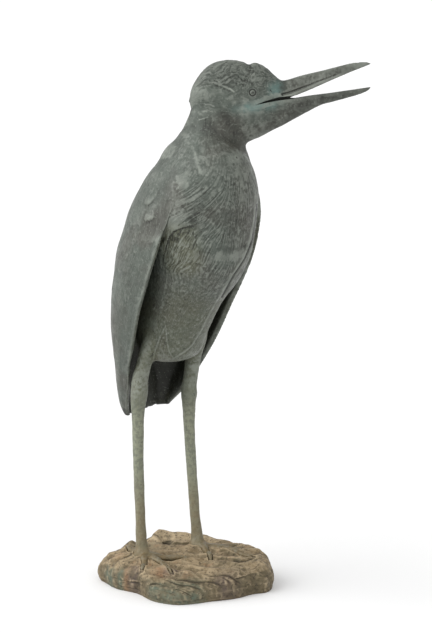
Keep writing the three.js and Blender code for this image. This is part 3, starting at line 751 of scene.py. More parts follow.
def bird_places(points, normals):
    """Named coordinates of places on the bird, in its own axes, and how much each zone holds."""
    x, y, z = points.T
    q, d = points @ FORWARD, points @ REARWARD
    at = {"x": x, "y": y, "z": z, "q": q, "side": d + HEAD_SHIFT}
    at["facing"] = smooth_step(0.05, 0.4, -(normals @ REARWARD))
    at["right"] = normals @ FORWARD
    at["eye_distance"] = np.hypot(q - EYE_Q, z - EYE_Z)
    at["covert_tip"] = np.zeros(len(x))
    for middle_y, tip_z in COVERT_TIPS:
        away = np.hypot(y - middle_y + 0.45 * (z - tip_z), np.minimum(0, z - tip_z - COVERT_TIP_RADIUS))
        dome = np.clip(1 - (away / COVERT_TIP_RADIUS) ** 2, 0, 1) ** 0.7
        above_tip = np.maximum(0, z - tip_z - 0.005)
        at["covert_tip"] = np.maximum(at["covert_tip"], dome * np.exp(-above_tip / 0.011))
    outside, past_front, cross, share, outward = wing_places(points)
    at["turn"], beyond_body = body_places(points)
    at["cross"], at["share"], at["past_front"], at["outside"] = cross, share, past_front, outside
    faces_out = smooth_step(-0.1, 0.3, (normals[:, :2] * outward).sum(1))
    wing_height = smooth_step(0.675, 0.655, z) * smooth_step(0.252, 0.258, z)
    on_wing = smooth_step(-0.0095, -0.0045, outside) * smooth_step(-6, 2, past_front)
    at["wing"] = on_wing * faces_out * wing_height
    nearest_leg = np.minimum(leg_distance(points, RIGHT_LEG), leg_distance(points, LEFT_LEG))
    at["leg"] = smooth_step(0.007, 0.001, nearest_leg) * (1 - at["wing"])
    at["thigh"] = at["leg"] * smooth_step(0.45, 0.40, z)
    at["shin"] = at["leg"] * smooth_step(0.320, 0.265, z)
    on_body = smooth_step(0.008, 0.003, beyond_body) * smooth_step(0.348, 0.354, z)
    open_side = on_body * smooth_step(2.15, 1.75, at["turn"])
    # A band on the flank beside the shaded gap under the wing, which the patina paints lighter as painted
    # light.
    at["panel"] = on_body * bell(at["turn"] - 1.65, 0.18) * smooth_step(0.54, 0.50, z)
    covered = smooth_step(-0.003, -0.006, outside)
    covered = covered * smooth_step(0.60, 0.56, z) * smooth_step(0.250, 0.256, z)
    # The parts that the wings cover; the patina paints shade on them.
    at["inner"] = covered * (1 - at["wing"]) * (1 - open_side) * (1 - at["leg"])
    edge = 0.757 - 0.75 * (q - 0.008)
    at["head"] = smooth_step(-0.010, 0.012, z - edge) * smooth_step(0.66, 0.69, z)
    upper = smooth_step(0.131, 0.141, q - 0.35 * (z - 0.780))
    lower = smooth_step(0.150, 0.185, q - 0.9 * (z - 0.760))
    at["bill"] = np.where(z > np.interp(q, *np.array(MOUTH_UPPER).T), upper, lower) * at["head"]
    at["foot"] = smooth_step(0.085, 0.055, z)
    set_flow(points, at)
    return at


def set_flow(points, at):
    """Adds the ways along and across the feathers, and how strongly they are drawn."""
    q, z, turn = at["q"], at["z"], at["turn"]
    warp = 0.008 * noise(points, 0.06, 11) + 0.001 * noise(points, 0.018, 12)
    swirl = 0.006 * noise(points, 0.022, 51) + 0.0025 * noise(points, 0.009, 52)
    run = turn * 0.085
    sweep = sideways_run(z) * smooth_step(0.0, 0.35, turn) * np.where(at["x"] > 0, 0.3, 1)
    along = -1.15 * z + 0.3 * run
    across = run + sweep + warp
    width = 0.19 * np.interp(at["share"], (0, 0.3, 0.7, 1), (0.75, 1, 0.85, 0.5))
    wing_across = at["cross"] * width + np.where(at["x"] > 0, 50.0, 30.0) + 0.4 * warp
    head_along = -q + 0.35 * (z - 0.762) + swirl
    head_across = np.arctan2(np.abs(at["side"]), z - 0.762) * 0.034 + swirl + 70.0
    at["crown"] = smooth_step(0.780, 0.795, z) * at["head"] * (1 - at["bill"])
    flank = smooth_step(0.56, 0.96, turn) * smooth_step(1.75, 1.45, turn) * (1 - at["wing"])
    at["flank"] = flank * smooth_step(0.488, 0.525, z) * smooth_step(0.590, 0.572, z)
    strength = np.interp(z, (0.36, 0.50, 0.56, 0.61, 0.65, 0.70), (0.6, 0.8, 1.0, 0.8, 0.4, 0.3))
    strength = strength * (0.3 + 0.7 * smooth_step(-0.35, 0.45, noise(points, 0.022, 25)))
    strength = strength * (1 - 0.6 * at["inner"]) * (1 - at["shin"])
    for zone, zone_along, zone_across, amount in (
        ("flank", 0.64 * run - 0.77 * z, 0.77 * run + 0.64 * z + 0.4 * swirl + 90.0, 1.1),
        ("wing", at["share"] * 0.413, wing_across, 0.30),
        ("head", head_along, head_across, 0.35 + 0.65 * at["crown"]),
    ):
        inside = at[zone] > 0.5
        along = np.where(inside, zone_along, along)
        across = np.where(inside, zone_across, across)
        near_border = 1 - 4 * at[zone] * (1 - at[zone])
        strength = np.where(inside, amount, strength) * near_border
    at["along"], at["across"] = along, across
    at["stroke"] = strength * (1 - 0.85 * at["bill"]) * (1 - at["foot"])


def breast_relief(points, at):
    """Hackles that sweep out from the throat down the breast, tufts on the flanks, a stippled belly."""
    z, along, across = at["z"], at["along"], at["across"]
    patchy = 0.35 + 0.65 * smooth_step(-0.3, 0.5, noise(points, 0.03, 24))
    locks = feathers(along, across, 0.055, 0.010, 21)
    hair = strokes(along, across, 0.035, 0.0032, 23)
    tufts = feathers(along, across, 0.012, 0.0046, 22)
    neck = smooth_step(0.64, 0.69, z)
    belly = smooth_step(0.52, 0.46, z)
    height = (0.00024 * locks + 0.00024 * hair) * patchy * (1 - 0.75 * neck) * (1 - 0.7 * belly)
    quills = strokes(along, across, 0.016, 0.0026, 27)
    height += at["flank"] * (0.0002 * quills - 0.0006)
    height += belly * (0.00020 * rough_noise(points, 0.0045, 31, 2) + 0.00022 * tufts)
    return height + 0.0003 * rough_noise(points, 0.015, 33)


def wing_relief(points, at):
    """Rows of coverts with scalloped ends, then long flight feathers down to the tip."""
    share, cross = at["share"], at["cross"]
    side = np.where(at["x"] > 0, 50.0, 30.0)
    height = 0.0002 * feathers(at["along"], at["across"], 0.040, 0.020, 43, 4.0)
    height = height * smooth_step(0.44, 0.38, share)
    for row_end, scallops, strong in COVERT_ROWS:
        bend = 0.012 * noise(points, 0.04, 41)
        wavy = scallops * cross + 9 * row_end + 0.25 * noise(points, 0.03, 42)
        above = row_end + bend + 0.012 * np.sqrt(np.abs(np.sin(np.pi * wavy))) - share
        uneven = strong * (0.55 + 0.45 * noise(points, 0.05, 44))
        fading = np.where(above > 0, np.exp(-above / 0.07), 0)
        height += 0.0007 * uneven * fading * smooth_step(0, 0.009, above)
    flights = feathers(share * 0.413, cross * 0.115 + side, 0.34, 0.019, 45, 9.0)
    ends = feathers(share * 0.413, cross * 0.115 + side, 0.060, 0.017, 47, 4.0)
    height += smooth_step(0.38, 0.46, share) * 0.00045 * flights
    height += smooth_step(0.80, 0.90, share) * 0.0003 * ends
    height += 0.0018 * at["covert_tip"]
    return height * smooth_step(0, 0.06, share) + 0.0002 * rough_noise(points, 0.018, 48, 2)


def head_relief(points, at):
    """Crown feathers swept back, curls round the eye, and the eye's rings."""
    along, across, crown, eye_distance = at["along"], at["across"], at["crown"], at["eye_distance"]
    near_eye = smooth_step(0.040, 0.012, eye_distance)
    curls = feathers(along, across, 0.0065, 0.0028, 55)
    height = 0.0004 * feathers(along, across, 0.016, 0.0046, 53) * crown
    height += 0.00035 * curls * np.clip(near_eye * smooth_step(0.768, 0.778, at["z"]) + 0.5 * crown, 0, 1)
    height += 0.00025 * strokes(along, across, 0.016, 0.0028, 56) * (0.15 + 0.85 * crown)
    height = height * smooth_step(0.0080, 0.0100, eye_distance)
    uneven = 0.65 + 0.6 * noise(points, 0.005, 57)
    height += 0.0006 * uneven * bell(eye_distance - 0.0064, 0.0010)
    height += 0.0003 * uneven * bell(eye_distance - 0.0090, 0.0010)
    height -= 0.0011 * bell(eye_distance - EYE_RING, EYE_RING_WIDTH)
    return height + 0.0003 * rough_noise(points, 0.012, 58, 2)


def bill_relief(points, at):
    """The groove along the upper bill, widest at the gape, and the casting's slight unevenness."""
    distance, _ = near_line(at["q"], at["z"], BILL_GROOVE)
    open_end = smooth_step(0.215, 0.165, at["q"])
    height = -(0.0006 + 0.0020 * open_end) * bell(distance, 0.0010 + 0.0009 * open_end)
    return height + 0.00012 * rough_noise(points, (0.014, 0.014, 0.004), 61, 2)


def shin_relief(points, at):
    """Fine scales round the legs and the casting's unevenness."""
    rings = np.abs(np.sin(np.pi * at["z"] / 0.0052 + 1.2 * noise(points, 0.012, 71)))
    ankle = 0.0014 * bell(at["z"] - LEFT_ANKLE, 0.007) * smooth_step(0.3, 0.9, at["right"]) * (at["x"] > 0)
    return 0.00006 * rings + 0.0007 * rough_noise(points, (0.008, 0.008, 0.020), 72, 4) + ankle


def drawn_relief(points, at):
    """Ridges and laps that show on the side that the bird turns outwards, and where that side is painted
    paler: ridges partly rubbed and partly painted highlight, painted highlights on two coverts, and painted
    light on the flank panel.
    """
    q, z = at["q"], at["z"]
    height = np.zeros(len(q))
    # How much paler each line is painted: partly rubbed bronze and partly painted highlight.
    polish_and_highlight = np.zeros(len(q))
    uneven = 0.65 + 0.5 * noise(points, 0.012, 84)
    no_shin = 1 - at["shin"]
    for line, tall, wide, lap, light, zone in (
        (BROW_RIDGE, 0.0003, 0.0020, 0.0, 0.1, at["head"]),
        *((line, 0.0004, 0.0012, 0.0, 0.85, 1) for line in BROW_STROKES),
        *((line, 0.0003, 0.0030, 0.0, 0.35, 1) for line in NECK_STREAKS),
        *((leaf, 0.0003, 0.0010, 0.0, 0.35, 1) for leaf in CHEEK_LEAVES),
        (KEEL[:6], 0.0008, 0.0024, 0.0, 0.5, no_shin * smooth_step(0.62, 0.59, z)),
        (KEEL[5:], 0.0006, 0.0017, 0.0, 0.35, no_shin),
        (LOBE_EDGE, 0.0003, 0.0012, 0.0, 0.2, no_shin),
        (THIGH_SEAM, 0.0003, 0.0012, 0.0, 0.2, 1),
        (LEFT_WING_LINE, -0.0020, 0.0018, 0.0, 0.0, 1),
        (FLANK_LAP, 0.0, 0.0010, 0.0011, 0.0, 1),
    ):
        distance, side = near_line(q, z, line)
        bump = bell(distance, wide) * zone
        step = lap * np.where(side < 0, np.exp(-distance / 0.012), 0) * zone
        height += tall * bump + step * smooth_step(0.045, 0.030, distance)
        polish_and_highlight = np.maximum(polish_and_highlight, light * bump * uneven)
    front_of_body = smooth_step(2.0, 1.6, at["turn"]) + at["head"]
    allowed = at["facing"] * (1 - at["wing"]) * np.minimum(1, front_of_body)
    # Painted highlights on the lower ends of the two shoulder coverts, and painted light on the flank panel
    # beside the shaded gap under the wing.
    tips = 0.75 * smooth_step(0.70, 1.0, at["covert_tip"]) * at["wing"]
    panel = 0.22 * at["panel"] * uneven * (1 - at["wing"])
    at["polish_and_highlight"] = np.maximum.reduce([polish_and_highlight * allowed, tips, panel])
    return height * allowed


def bird_relief(points, normals):
    """Height of the relief at each place of the bird."""
    at = bird_places(points, normals)
    height = breast_relief(points, at) * (1 - 0.6 * at["inner"])
    reliefs = {"wing": wing_relief, "head": head_relief, "shin": shin_relief, "bill": bill_relief}
    for zone, relief in reliefs.items():
        height += (relief(points, at) - height) * at[zone]
    height += (0.0013 * rough_noise(points, 0.009, 82, 3) - height) * at["foot"]
    return height + drawn_relief(points, at) + 0.0001 * noise(points, 0.003, 83)


def merge_shoulders(points, at):
    """Moves the breast out and the wing's front edge in, so that they meet without a step."""
    z, past_front, outside = at["z"], at["past_front"], at["outside"]
    height = smooth_step(0.556, 0.582, z) * smooth_step(0.672, 0.655, z) * (at["x"] < 0.02)
    near_edge = smooth_step(34, 0, np.abs(past_front)) * smooth_step(-0.030, -0.020, outside)
    half_step = np.interp(z, (0.55, 0.59, 0.623, 0.66), (0.0075, 0.0072, 0.0042, 0.003))
    amount = np.clip(-half_step - outside, -half_step, half_step) * height * near_edge
    middle = np.stack([np.zeros(len(z)), at_height(BODY, 1, z)], 1)
    outward = points[:, :2] - middle
    outward /= np.linalg.norm(outward, axis=1)[:, None] + 1e-9
    moved = points.copy()
    moved[:, :2] += outward * amount[:, None]
    return moved


def blending(points, at):
    """How strongly the joined forms are smoothed into each other: neck, shoulders, thighs, feet."""
    z, q = at["z"], at["q"]
    neck = smooth_step(0.640, 0.670, z) * smooth_step(0.752, 0.735, z)
    neck *= np.where(z > 0.69, smooth_step(0.120, 0.100, q), 1)
    crease = smooth_step(0.016, 0.008, near_line(q, z, HEAD_CREASE)[0]) * smooth_step(0.012, 0.022, q)
    notch = 0.6 * smooth_step(0.013, 0.005, near_line(q, z, CROWN_NOTCH)[0]) * smooth_step(0.8185, 0.814, z)
    leg_out = np.minimum(leg_distance(points, RIGHT_LEG), leg_distance(points, LEFT_LEG))
    thigh = smooth_step(0.335, 0.355, z) * smooth_step(0.46, 0.44, z) * smooth_step(0.016, 0.004, leg_out)
    shoulder = smooth_step(34, 16, np.abs(at["past_front"])) * smooth_step(-0.034, -0.022, at["outside"])
    shoulder *= smooth_step(0.552, 0.576, z) * (at["x"] < 0.02)
    feet = 0.5 * smooth_step(0.070, 0.055, z)
    return np.clip(neck + crease + notch + thigh + shoulder + feet, 0, 1)


def bird_mesh(voxel, triangles):
    """The whole bird as one closed mesh: joined, blended, feathered, its bill cut open."""
    bird = mesh_object("heron", bird_bodies())
    apply_modifier(bird, "REMESH", mode="VOXEL", voxel_size=voxel, adaptivity=0.0, use_smooth_shade=True)
    mesh = bird.data
    points, edges = points_of(mesh), edges_of(mesh)
    at = bird_places(points, normals_of(mesh))
    rounds = int(round(90 * (0.0012 / voxel) ** 2))
    points = relax(merge_shoulders(points, at), edges, blending(points, at), rounds)
    points = relax(points, edges, np.full(len(points), 0.8), 2)
    set_points(mesh, points)
    normals = normals_of(mesh)
    set_points(mesh, points + normals * bird_relief(points, normals)[:, None])
    for bodies in mouth_cutters():
        cutter = mesh_object("mouth", bodies)
        apply_modifier(bird, "BOOLEAN", operation="DIFFERENCE", object=cutter, solver="MANIFOLD")
        bpy.data.objects.remove(cutter)
    mesh = bird.data
    mesh.calc_loop_triangles()
    ratio = triangles / len(mesh.loop_triangles)
    if ratio < 1:
        apply_modifier(bird, "DECIMATE", ratio=ratio, use_collapse_triangulate=True)
    return bird


# The rock's form

def rock_top(q, d):
    """Height of the rock's top, without its finer relief."""
    slope = ROCK_HEIGHT + ROCK_TILT * d - 1.2 * np.minimum(0, d + 0.040) ** 2
    slope = slope - 6.0 * np.minimum(0, q + 0.084) ** 2 + 2.5 * np.maximum(0, q - 0.090) ** 2
    lean = d + 0.16 * q + 0.006 * np.sin(q / 0.038)
    strata = STRATA_HEIGHT * np.sin(2 * np.pi * lean / STRATA_LENGTH)
    along = np.exp(-((np.abs(q + 0.008) / 0.062) ** 6))
    ridge = 0.005 * along * bell(d - 0.060, 0.013)
    height = slope + strata + ridge
    for mid_q, mid_d, rise, radius in ROCK_KNOBS:
        height = height + rise * np.exp(-((q - mid_q) ** 2 + (d - mid_d) ** 2) / radius ** 2)
    return height


def closed_curve(corners, count):
    """A smooth closed curve through corners, as evenly spaced points."""
    corners = np.array(corners, float)
    total = len(corners)
    place = np.linspace(0, total, 40 * total, endpoint=False)
    index = place.astype(int)
    share = (place - index)[:, None]
    curve = curve_through(*(corners[(index + step) % total] for step in (-1, 0, 1, 2)), share)
    step = np.linalg.norm(np.roll(curve, -1, 0) - curve, axis=1)
    length = np.concatenate([[0], np.cumsum(step)])
    closed = np.vstack([curve, curve[:1]])
    spots = np.linspace(0, length[-1], count, endpoint=False)
    return np.column_stack([np.interp(spots, length, closed[:, k]) for k in (0, 1)])


def rock_flow(points):
    """The way across the rock's driftwood grain, and places stretched along the grain."""
    q, d = points @ FORWARD, points @ REARWARD
    bend = 0.010 * noise(points, 0.06, 91) + 0.003 * noise(points, 0.02, 92)
    across = d + 0.16 * q + 0.006 * np.sin(q / 0.038) + bend
    return across, np.column_stack([q / 6, across, np.zeros(len(q))])


def toe_path(foot, toe, count):
    """The line of a toe in plan, bowed sideways."""
    share = np.linspace(0, 1, count)
    start, end = np.array(foot[1:3]), np.array(toe[:2])
    run = end - start
    sideways = np.array([-run[1], run[0]]) / np.linalg.norm(run)
    return start + run * share[:, None] + sideways * (toe[2] * np.sin(np.pi * share))[:, None]


def rock_relief(points, normals):
    """Driftwood ridges on the top, folds and pits on the flank, the ledge's lip, creases, a furrow and a
    spine, and the hole in the top.
    """
    q, d, z = points @ FORWARD, points @ REARWARD, points[:, 2]
    on_top = smooth_step(0.35, 0.8, normals[:, 2])
    _, grain = rock_flow(points)
    ridges = np.abs(noise(grain, (0.012, 0.011, 1), 93))
    fine = np.abs(noise(grain, (0.006, 0.004, 1), 94))
    rough = rough_noise(points, 0.019, 95, 3)
    pits = np.clip(noise(points, 0.006, 96) - 0.6, 0, 1)
    top = -0.0028 * (1 - ridges) ** 2 - 0.0004 * (1 - fine) ** 3 + 0.0026 * rough
    layers = np.column_stack([q / 5, d / 5, z + 0.002 * noise(points, 0.03, 98)])
    flank = -0.0012 * (1 - np.abs(noise(layers, (0.014, 0.014, 0.011), 97))) ** 2 + 0.0024 * rough
    height = top * on_top + flank * (1 - on_top) - 0.0014 * pits
    front = smooth_step(-0.055, -0.075, d)
    distance, side = near_line(q, z, ROCK_LEDGE)
    lip = np.exp(-distance / 0.011) * np.where(side > 0, 1, -1) * smooth_step(0, 0.008, distance)
    height += front * 0.0030 * lip
    for crease in ROCK_CREASES:
        distance, side = near_line(q, z, crease)
        height -= front * 0.0009 * bell(distance, 0.0055)
    height -= on_top * 0.0024 * bell(near_line(q, d, ROCK_FURROW)[0], 0.0045)
    height += on_top * 0.0014 * bell(near_line(q, d, ROCK_SPINE)[0], 0.0050)
    hole = np.hypot(q - ROCK_HOLE[0], d - ROCK_HOLE[1])
    return height - 0.0050 * smooth_step(ROCK_HOLE[2] * 1.6, ROCK_HOLE[2] * 0.5, hole) * on_top


def toe_fillet(points):
    """How far the rock rises to meet the toes and legs beside it."""
    rise = np.zeros(len(points))
    for foot, toes in ((RIGHT_LEG[-1], RIGHT_TOES), (LEFT_LEG[-1], LEFT_TOES)):
        out = np.hypot(points[:, 0] - foot[1], points[:, 1] - foot[2]) - foot[3]
        rise = np.maximum(rise, np.where(out > 0, 0.0055 * np.exp(-out / 0.006), 0))
        for toe in toes:
            path = toe_path(foot, toe, 24)
            away = np.hypot(points[:, 0, None] - path[:, 0], points[:, 1, None] - path[:, 1])
            nearest = away.argmin(1)
            share = nearest / (len(path) - 1)
            out = away[np.arange(len(points)), nearest] - TOE_RADIUS * (1 - 0.5 * share)
            rise = np.maximum(rise, np.where(out > 0, 0.0046 * (1 - 0.4 * share) * np.exp(-out / 0.006), 0))
    return rise


def rock_mesh(sides=440, flank_rings=60, top_rings=160):
    plan = closed_curve(ROCK_PLAN, sides)
    middle = np.array(ROCK_CENTRE)
    flank_place = np.linspace(0, len(ROCK_FLANK) - 1, flank_rings)
    height_share = np.concatenate([measure(ROCK_FLANK, 0, flank_place), np.ones(top_rings)])
    grow = np.concatenate([measure(ROCK_FLANK, 1, flank_place), np.linspace(0.885, 0.01, top_rings)])
    height_share = np.clip(height_share, 0, 1)
    spots = middle + (plan - middle)[None] * grow[:, None, None]
    spots[..., 0] += (ROCK_LEAN_FOOT + (ROCK_LEAN_RIM - ROCK_LEAN_FOOT) * height_share)[:, None]
    q, d = spots[..., 0], spots[..., 1]
    z = rock_top(q, d) * height_share[:, None]
    rings = q[..., None] * FORWARD + d[..., None] * REARWARD + z[..., None] * UP
    rock = mesh_object("rock", [loft(rings)])
    mesh = rock.data
    points, normals = points_of(mesh), normals_of(mesh)
    height = rock_relief(points, normals) * smooth_step(0.0, 0.004, points[:, 2])
    points += normals * height[:, None]
    upward = smooth_step(0.4, 0.8, normals[:, 2])
    points[:, 2] += toe_fillet(points) * upward
    set_points(mesh, points)
    return rock


def stains(points, spots, seed):
    """How much of a stain lies on each place."""
    q, d = points @ FORWARD, points @ REARWARD
    total = np.zeros(len(points))
    for spot_q, spot_d, reach in spots:
        total = np.maximum(total, np.exp(-(((q - spot_q) ** 2 + (d - spot_d) ** 2) / reach ** 2)))
    return np.clip(total * (1.1 + 0.7 * rough_noise(points, 0.010, seed)), 0, 1)


def bird_zones(mesh):
    """Where the patina is worn or stained, and where shade and highlights are painted on it, as one value
    from 0 to 1 for each point.
    """
    points = points_of(mesh)
    at = bird_places(points, normals_of(mesh))
    # The drawn relief is worked out again for the pale lines, painted highlights and painted light that it
    # notes.
    drawn_relief(points, at)
    z, q = at["z"], at["q"]
    bent = z + 0.02 * noise(points, 0.05, 101)
    # The breast's right side and the throat: browner patina with painted shade on it.
    right = smooth_step(0.055, 0.095, q + 0.015 * noise(points, 0.04, 102))
    breast = right * smooth_step(0.48, 0.55, bent) * smooth_step(0.71, 0.66, bent)
    throat = smooth_step(0.745, 0.725, bent) * smooth_step(0.68, 0.70, bent) * smooth_step(0.02, 0.06, q)
    belly = 0.7 * smooth_step(0.50, 0.42, bent)
    # The vee between the thigh seam and the belly's lobe: browner patina with painted shade between the
    # parts.
    seam_q = np.interp(z, *np.array(THIGH_SEAM)[::-1, ::-1].T)
    lobe_q = np.interp(z, *np.array(LOBE_EDGE)[::-1, ::-1].T)
    vee = smooth_step(0, 0.003, q - seam_q) * smooth_step(0, 0.003, lobe_q - q)
    vee *= smooth_step(0.410, 0.395, z) * at["facing"] * (1 - at["shin"]) * (1 - at["wing"])
    # The eye: a dark pupil, painted shade in the groove of its ring, a paler ring round the pupil and a
    # painted highlight, the glint.
    pupil = smooth_step(0.0028, 0.0018, at["eye_distance"]) * at["head"]
    eye_ring = np.maximum(bell(at["eye_distance"] - 0.0047, 0.0008) * at["head"], pupil)
    lid = bell(at["eye_distance"] - 0.0034, 0.0007) * at["head"]
    glint = bell(q - EYE_Q - 0.0008, 0.0008) * bell(z - EYE_Z - 0.0012, 0.0008) * at["head"]
    # Painted shade in the groove along the left wing's edge, and on the band of breast beside it.
    line_distance, line_side = near_line(q, z, LEFT_WING_LINE)
    on_left = (1 - at["wing"]) * (at["x"] > -0.01) * at["facing"]
    wing_line = 0.8 * bell(line_distance, 0.0016) * on_left
    left_band = (line_side > 0) * smooth_step(0.020, 0.012, line_distance) * at["facing"]
    left_band *= smooth_step(0.46, 0.48, z) * smooth_step(0.63, 0.60, z) * (1 - at["head"])
    lap_distance, lap_side = near_line(q, z, FLANK_LAP)
    lap_shade = (lap_side > 0) * np.exp(-lap_distance / 0.0022) * at["facing"] * (1 - at["wing"])
    # Painted shade on the lowest edge of the tail and wing tips, over the light that the floor throws up
    # onto them.
    tail_end = smooth_step(0.275, 0.268, z) * smooth_step(0.080, 0.088, points[:, 1])
    tail_end *= np.abs(at["x"]) < 0.060
    # Painted shade on the parts that the wings cover: weaker near the left wing's front edge, and almost
    # none on the bird's right above 0.38 m.
    left_rim = smooth_step(-2, 18, at["past_front"]) + (at["x"] < 0)
    inner = at["inner"] * np.minimum(1, 0.45 + left_rim + smooth_step(0.37, 0.34, z))
    inner *= 1 - 0.95 * (at["x"] < 0) * smooth_step(0.35, 0.38, z)
    # A paler strip below the bill's groove.
    groove_distance, groove_side = near_line(q, z, BILL_GROOVE)
    below_groove = (groove_side < 0) & (groove_distance < 0.006) & (q > 0.150) & (z > 0.765)
    # Below the mouth line; the lower bill there takes painted shade.
    under_mouth = z < np.interp(q, *np.array(MOUTH_UPPER).T)
    gape = bell(q - 0.112, 0.028) * bell(z - 0.756 - 0.12 * (q - 0.112), 0.008)
    gape *= 0.9 + 0.6 * noise(points, 0.008, 103)
    limb = np.maximum(0.75 * at["foot"], 0.9 * at["leg"] * smooth_step(0.32, 0.28, z))
    smooth_parts = smooth_step(0.64, 0.67, z) * (1 - at["crown"])
    # The jaw under the head, which takes painted shade.
    jaw = smooth_step(0.090, 0.105, q) * smooth_step(0.752, 0.738, z) * at["head"]
    root = bell(q - 0.138, 0.010) * bell(z - 0.783, 0.012)
    off_wing = 1 - at["wing"]
    front = np.maximum(0.7 * breast, throat) * off_wing * (1 - at["bill"])
    olive = np.maximum(np.maximum(at["flank"], belly), at["thigh"])
    hollow = hollowness(mesh, 3) * (1 - 0.5 * at["wing"]) * (1 - 0.4 * belly)
    zones = {
        # Browner patina with painted shade: the breast's right side, the throat, the vee and the band
        # beside the left wing.
        "shade": np.maximum.reduce([front, vee, 0.9 * left_band]),
        "thigh": olive * off_wing * (1 - at["shin"]),
        "verdigris": np.clip(gape + root, 0, 1) * at["head"] * (1 - at["inner"]),
        # Painted shade under the wings, in the eye's and the left wing's grooves, on the lowest edge of the
        # tail, under the flank's lap, on the lower bill and the jaw; with it the eye's dark pupil and a
        # darker crown.
        "inner": np.maximum.reduce([inner, 0.9 * eye_ring, wing_line, 0.9 * tail_end, 0.4 * lap_shade,
                                    0.45 * at["bill"] * under_mouth, 0.32 * at["crown"], 0.2 * jaw]),
        # Paler lines, partly rubbed and partly painted highlight; the eye's painted highlight, a paler
        # strip below the bill's groove and a paler ring in the eye; painted highlights on two coverts and
        # painted light on the flank panel.
        "polish_and_highlight": np.maximum.reduce([at["polish_and_highlight"], glint, 0.3 * below_groove, 0.35 * lid]),
        "hollow": hollow * (1 - limb) * (1 - 0.3 * smooth_parts),
        "shin": at["leg"] * smooth_step(0.330, 0.250, z),
        "foot": np.maximum(at["foot"], 0.7 * smooth_step(0.20, 0.09, z) * at["leg"]),
    }
    for name in ("bill", "along", "across", "stroke"):
        zones[name] = at[name]
    return zones


def rock_zones(mesh):
    """Where the rock is stained, dark or rubbed, and where shade is painted in its hole and under its
    ledge, as one value for each point.
    """
    points, normals = points_of(mesh), normals_of(mesh)
    q, d, z, up = points @ FORWARD, points @ REARWARD, points[:, 2], normals[:, 2]
    top = smooth_step(0.35, 0.8, up)
    down_the_flank = 1.2 * z + 0.004 * noise(points, 0.04, 114)
    ledge_distance, ledge_side = near_line(q, z, ROCK_LEDGE)
    # Painted shade below the ledge on the rock's front.
    shade_under_ledge = (ledge_side < 0) * smooth_step(0.0, 0.003, ledge_distance) * (d < -0.06)
    # Painted shade in the hole on the rock's top.
    hole_q, hole_d, hole_radius = ROCK_HOLE
    hole = np.hypot(q - hole_q, d - hole_d) / (1.35 * hole_radius)
    return {
        "flank": np.maximum(smooth_step(0.8, 0.3, up), shade_under_ledge),
        "hollow": hollowness(mesh, 3),
        "along": q,
        "across": np.where(up > 0.55, rock_flow(points)[0], down_the_flank),
        "stroke": (0.5 + 0.5 * top) * np.clip(np.abs(up - 0.55) / 0.15, 0, 1),
        "sand_stain": stains(points, SAND_STAINS, 115) * top,
        "painted_hole_shade": np.exp(-(hole ** 4)) * (z > 0.02),
        "orange_stain": stains(points, ORANGE_STAINS, 111),
        "purple_stain": stains(points, PURPLE_STAINS, 112),
        "green_stain": stains(points, GREEN_STAINS, 113) * (1 - 0.5 * top),
    }


# Shader helpers

COLOUR, NUMBER, VECTOR = "NodeSocketColor", "NodeSocketFloat", "NodeSocketVector"


def add_node(tree, kind, **settings):
    made = tree.nodes.new(kind)
    for key, value in settings.items():
        setattr(made, key, value)
    return made


def feed(tree, source, target):
    """Links an output to an input, or sets the input's value; a colour gets its alpha here."""
    if isinstance(source, bpy.types.NodeSocket):
        tree.links.new(source, target)
    elif target.type == "RGBA":
        target.default_value = (*source[:3], 1.0)
    else:
        target.default_value = source


def mix_colour(tree, share, first, second):
    made = add_node(tree, "ShaderNodeMix", data_type="RGBA")
    for socket, source in ((0, share), (6, first), (7, second)):
        feed(tree, source, made.inputs[socket])
    return made.outputs[2]


def calculate(tree, operation, first, second):
    made = add_node(tree, "ShaderNodeMath", operation=operation)
    feed(tree, first, made.inputs[0])
    feed(tree, second, made.inputs[1])
    return made.outputs[0]


def plus(tree, first, second):
    return calculate(tree, "ADD", first, second)


def minus(tree, first, second):
    return calculate(tree, "SUBTRACT", first, second)


def times(tree, first, second):
    return calculate(tree, "MULTIPLY", first, second)


def larger(tree, first, second):
    return calculate(tree, "MAXIMUM", first, second)


def spread(tree, value, low, high, to_low=0.0, to_high=1.0):
    """Maps a value from one range to another, smoothly."""
    made = add_node(tree, "ShaderNodeMapRange", interpolation_type="SMOOTHSTEP")
    ends = {"Value": value, "From Min": low, "From Max": high, "To Min": to_low, "To Max": to_high}
    for socket, source in ends.items():
        feed(tree, source, made.inputs[socket])
    return made.outputs["Result"]


def noise_texture(tree, place, scale, detail=4.0, roughness=0.6):
    made = add_node(tree, "ShaderNodeTexNoise")
    sources = {"Vector": place, "Scale": scale, "Detail": detail, "Roughness": roughness}
    for socket, source in sources.items():
        feed(tree, source, made.inputs[socket])
    return made.outputs["Fac"]


def attribute(tree, name):
    return add_node(tree, "ShaderNodeAttribute", attribute_name=name).outputs["Fac"]


def new_group(name, inputs, outputs):
    """An empty node group and its two ends. An input is given by its kind, or by its default number."""
    group = bpy.data.node_groups.new(name, "ShaderNodeTree")
    for label, value in inputs.items():
        is_number = isinstance(value, float)
        kind = NUMBER if is_number else value
        socket = group.interface.new_socket(name=label, in_out="INPUT", socket_type=kind)
        if is_number:
            socket.default_value = value
    for label, kind in outputs.items():
        group.interface.new_socket(name=label, in_out="OUTPUT", socket_type=kind)
    return group, group.nodes.new("NodeGroupInput").outputs, group.nodes.new("NodeGroupOutput").inputs


def use_group(tree, name, **values):
    """Places a shared group, built when it is first asked for, and feeds its inputs by name."""
    group = bpy.data.node_groups.get(name) or GROUP_MAKERS[name](name)
    made = add_node(tree, "ShaderNodeGroup", node_tree=group)
    for label, value in values.items():
        feed(tree, value, made.inputs[label])
    return made.outputs


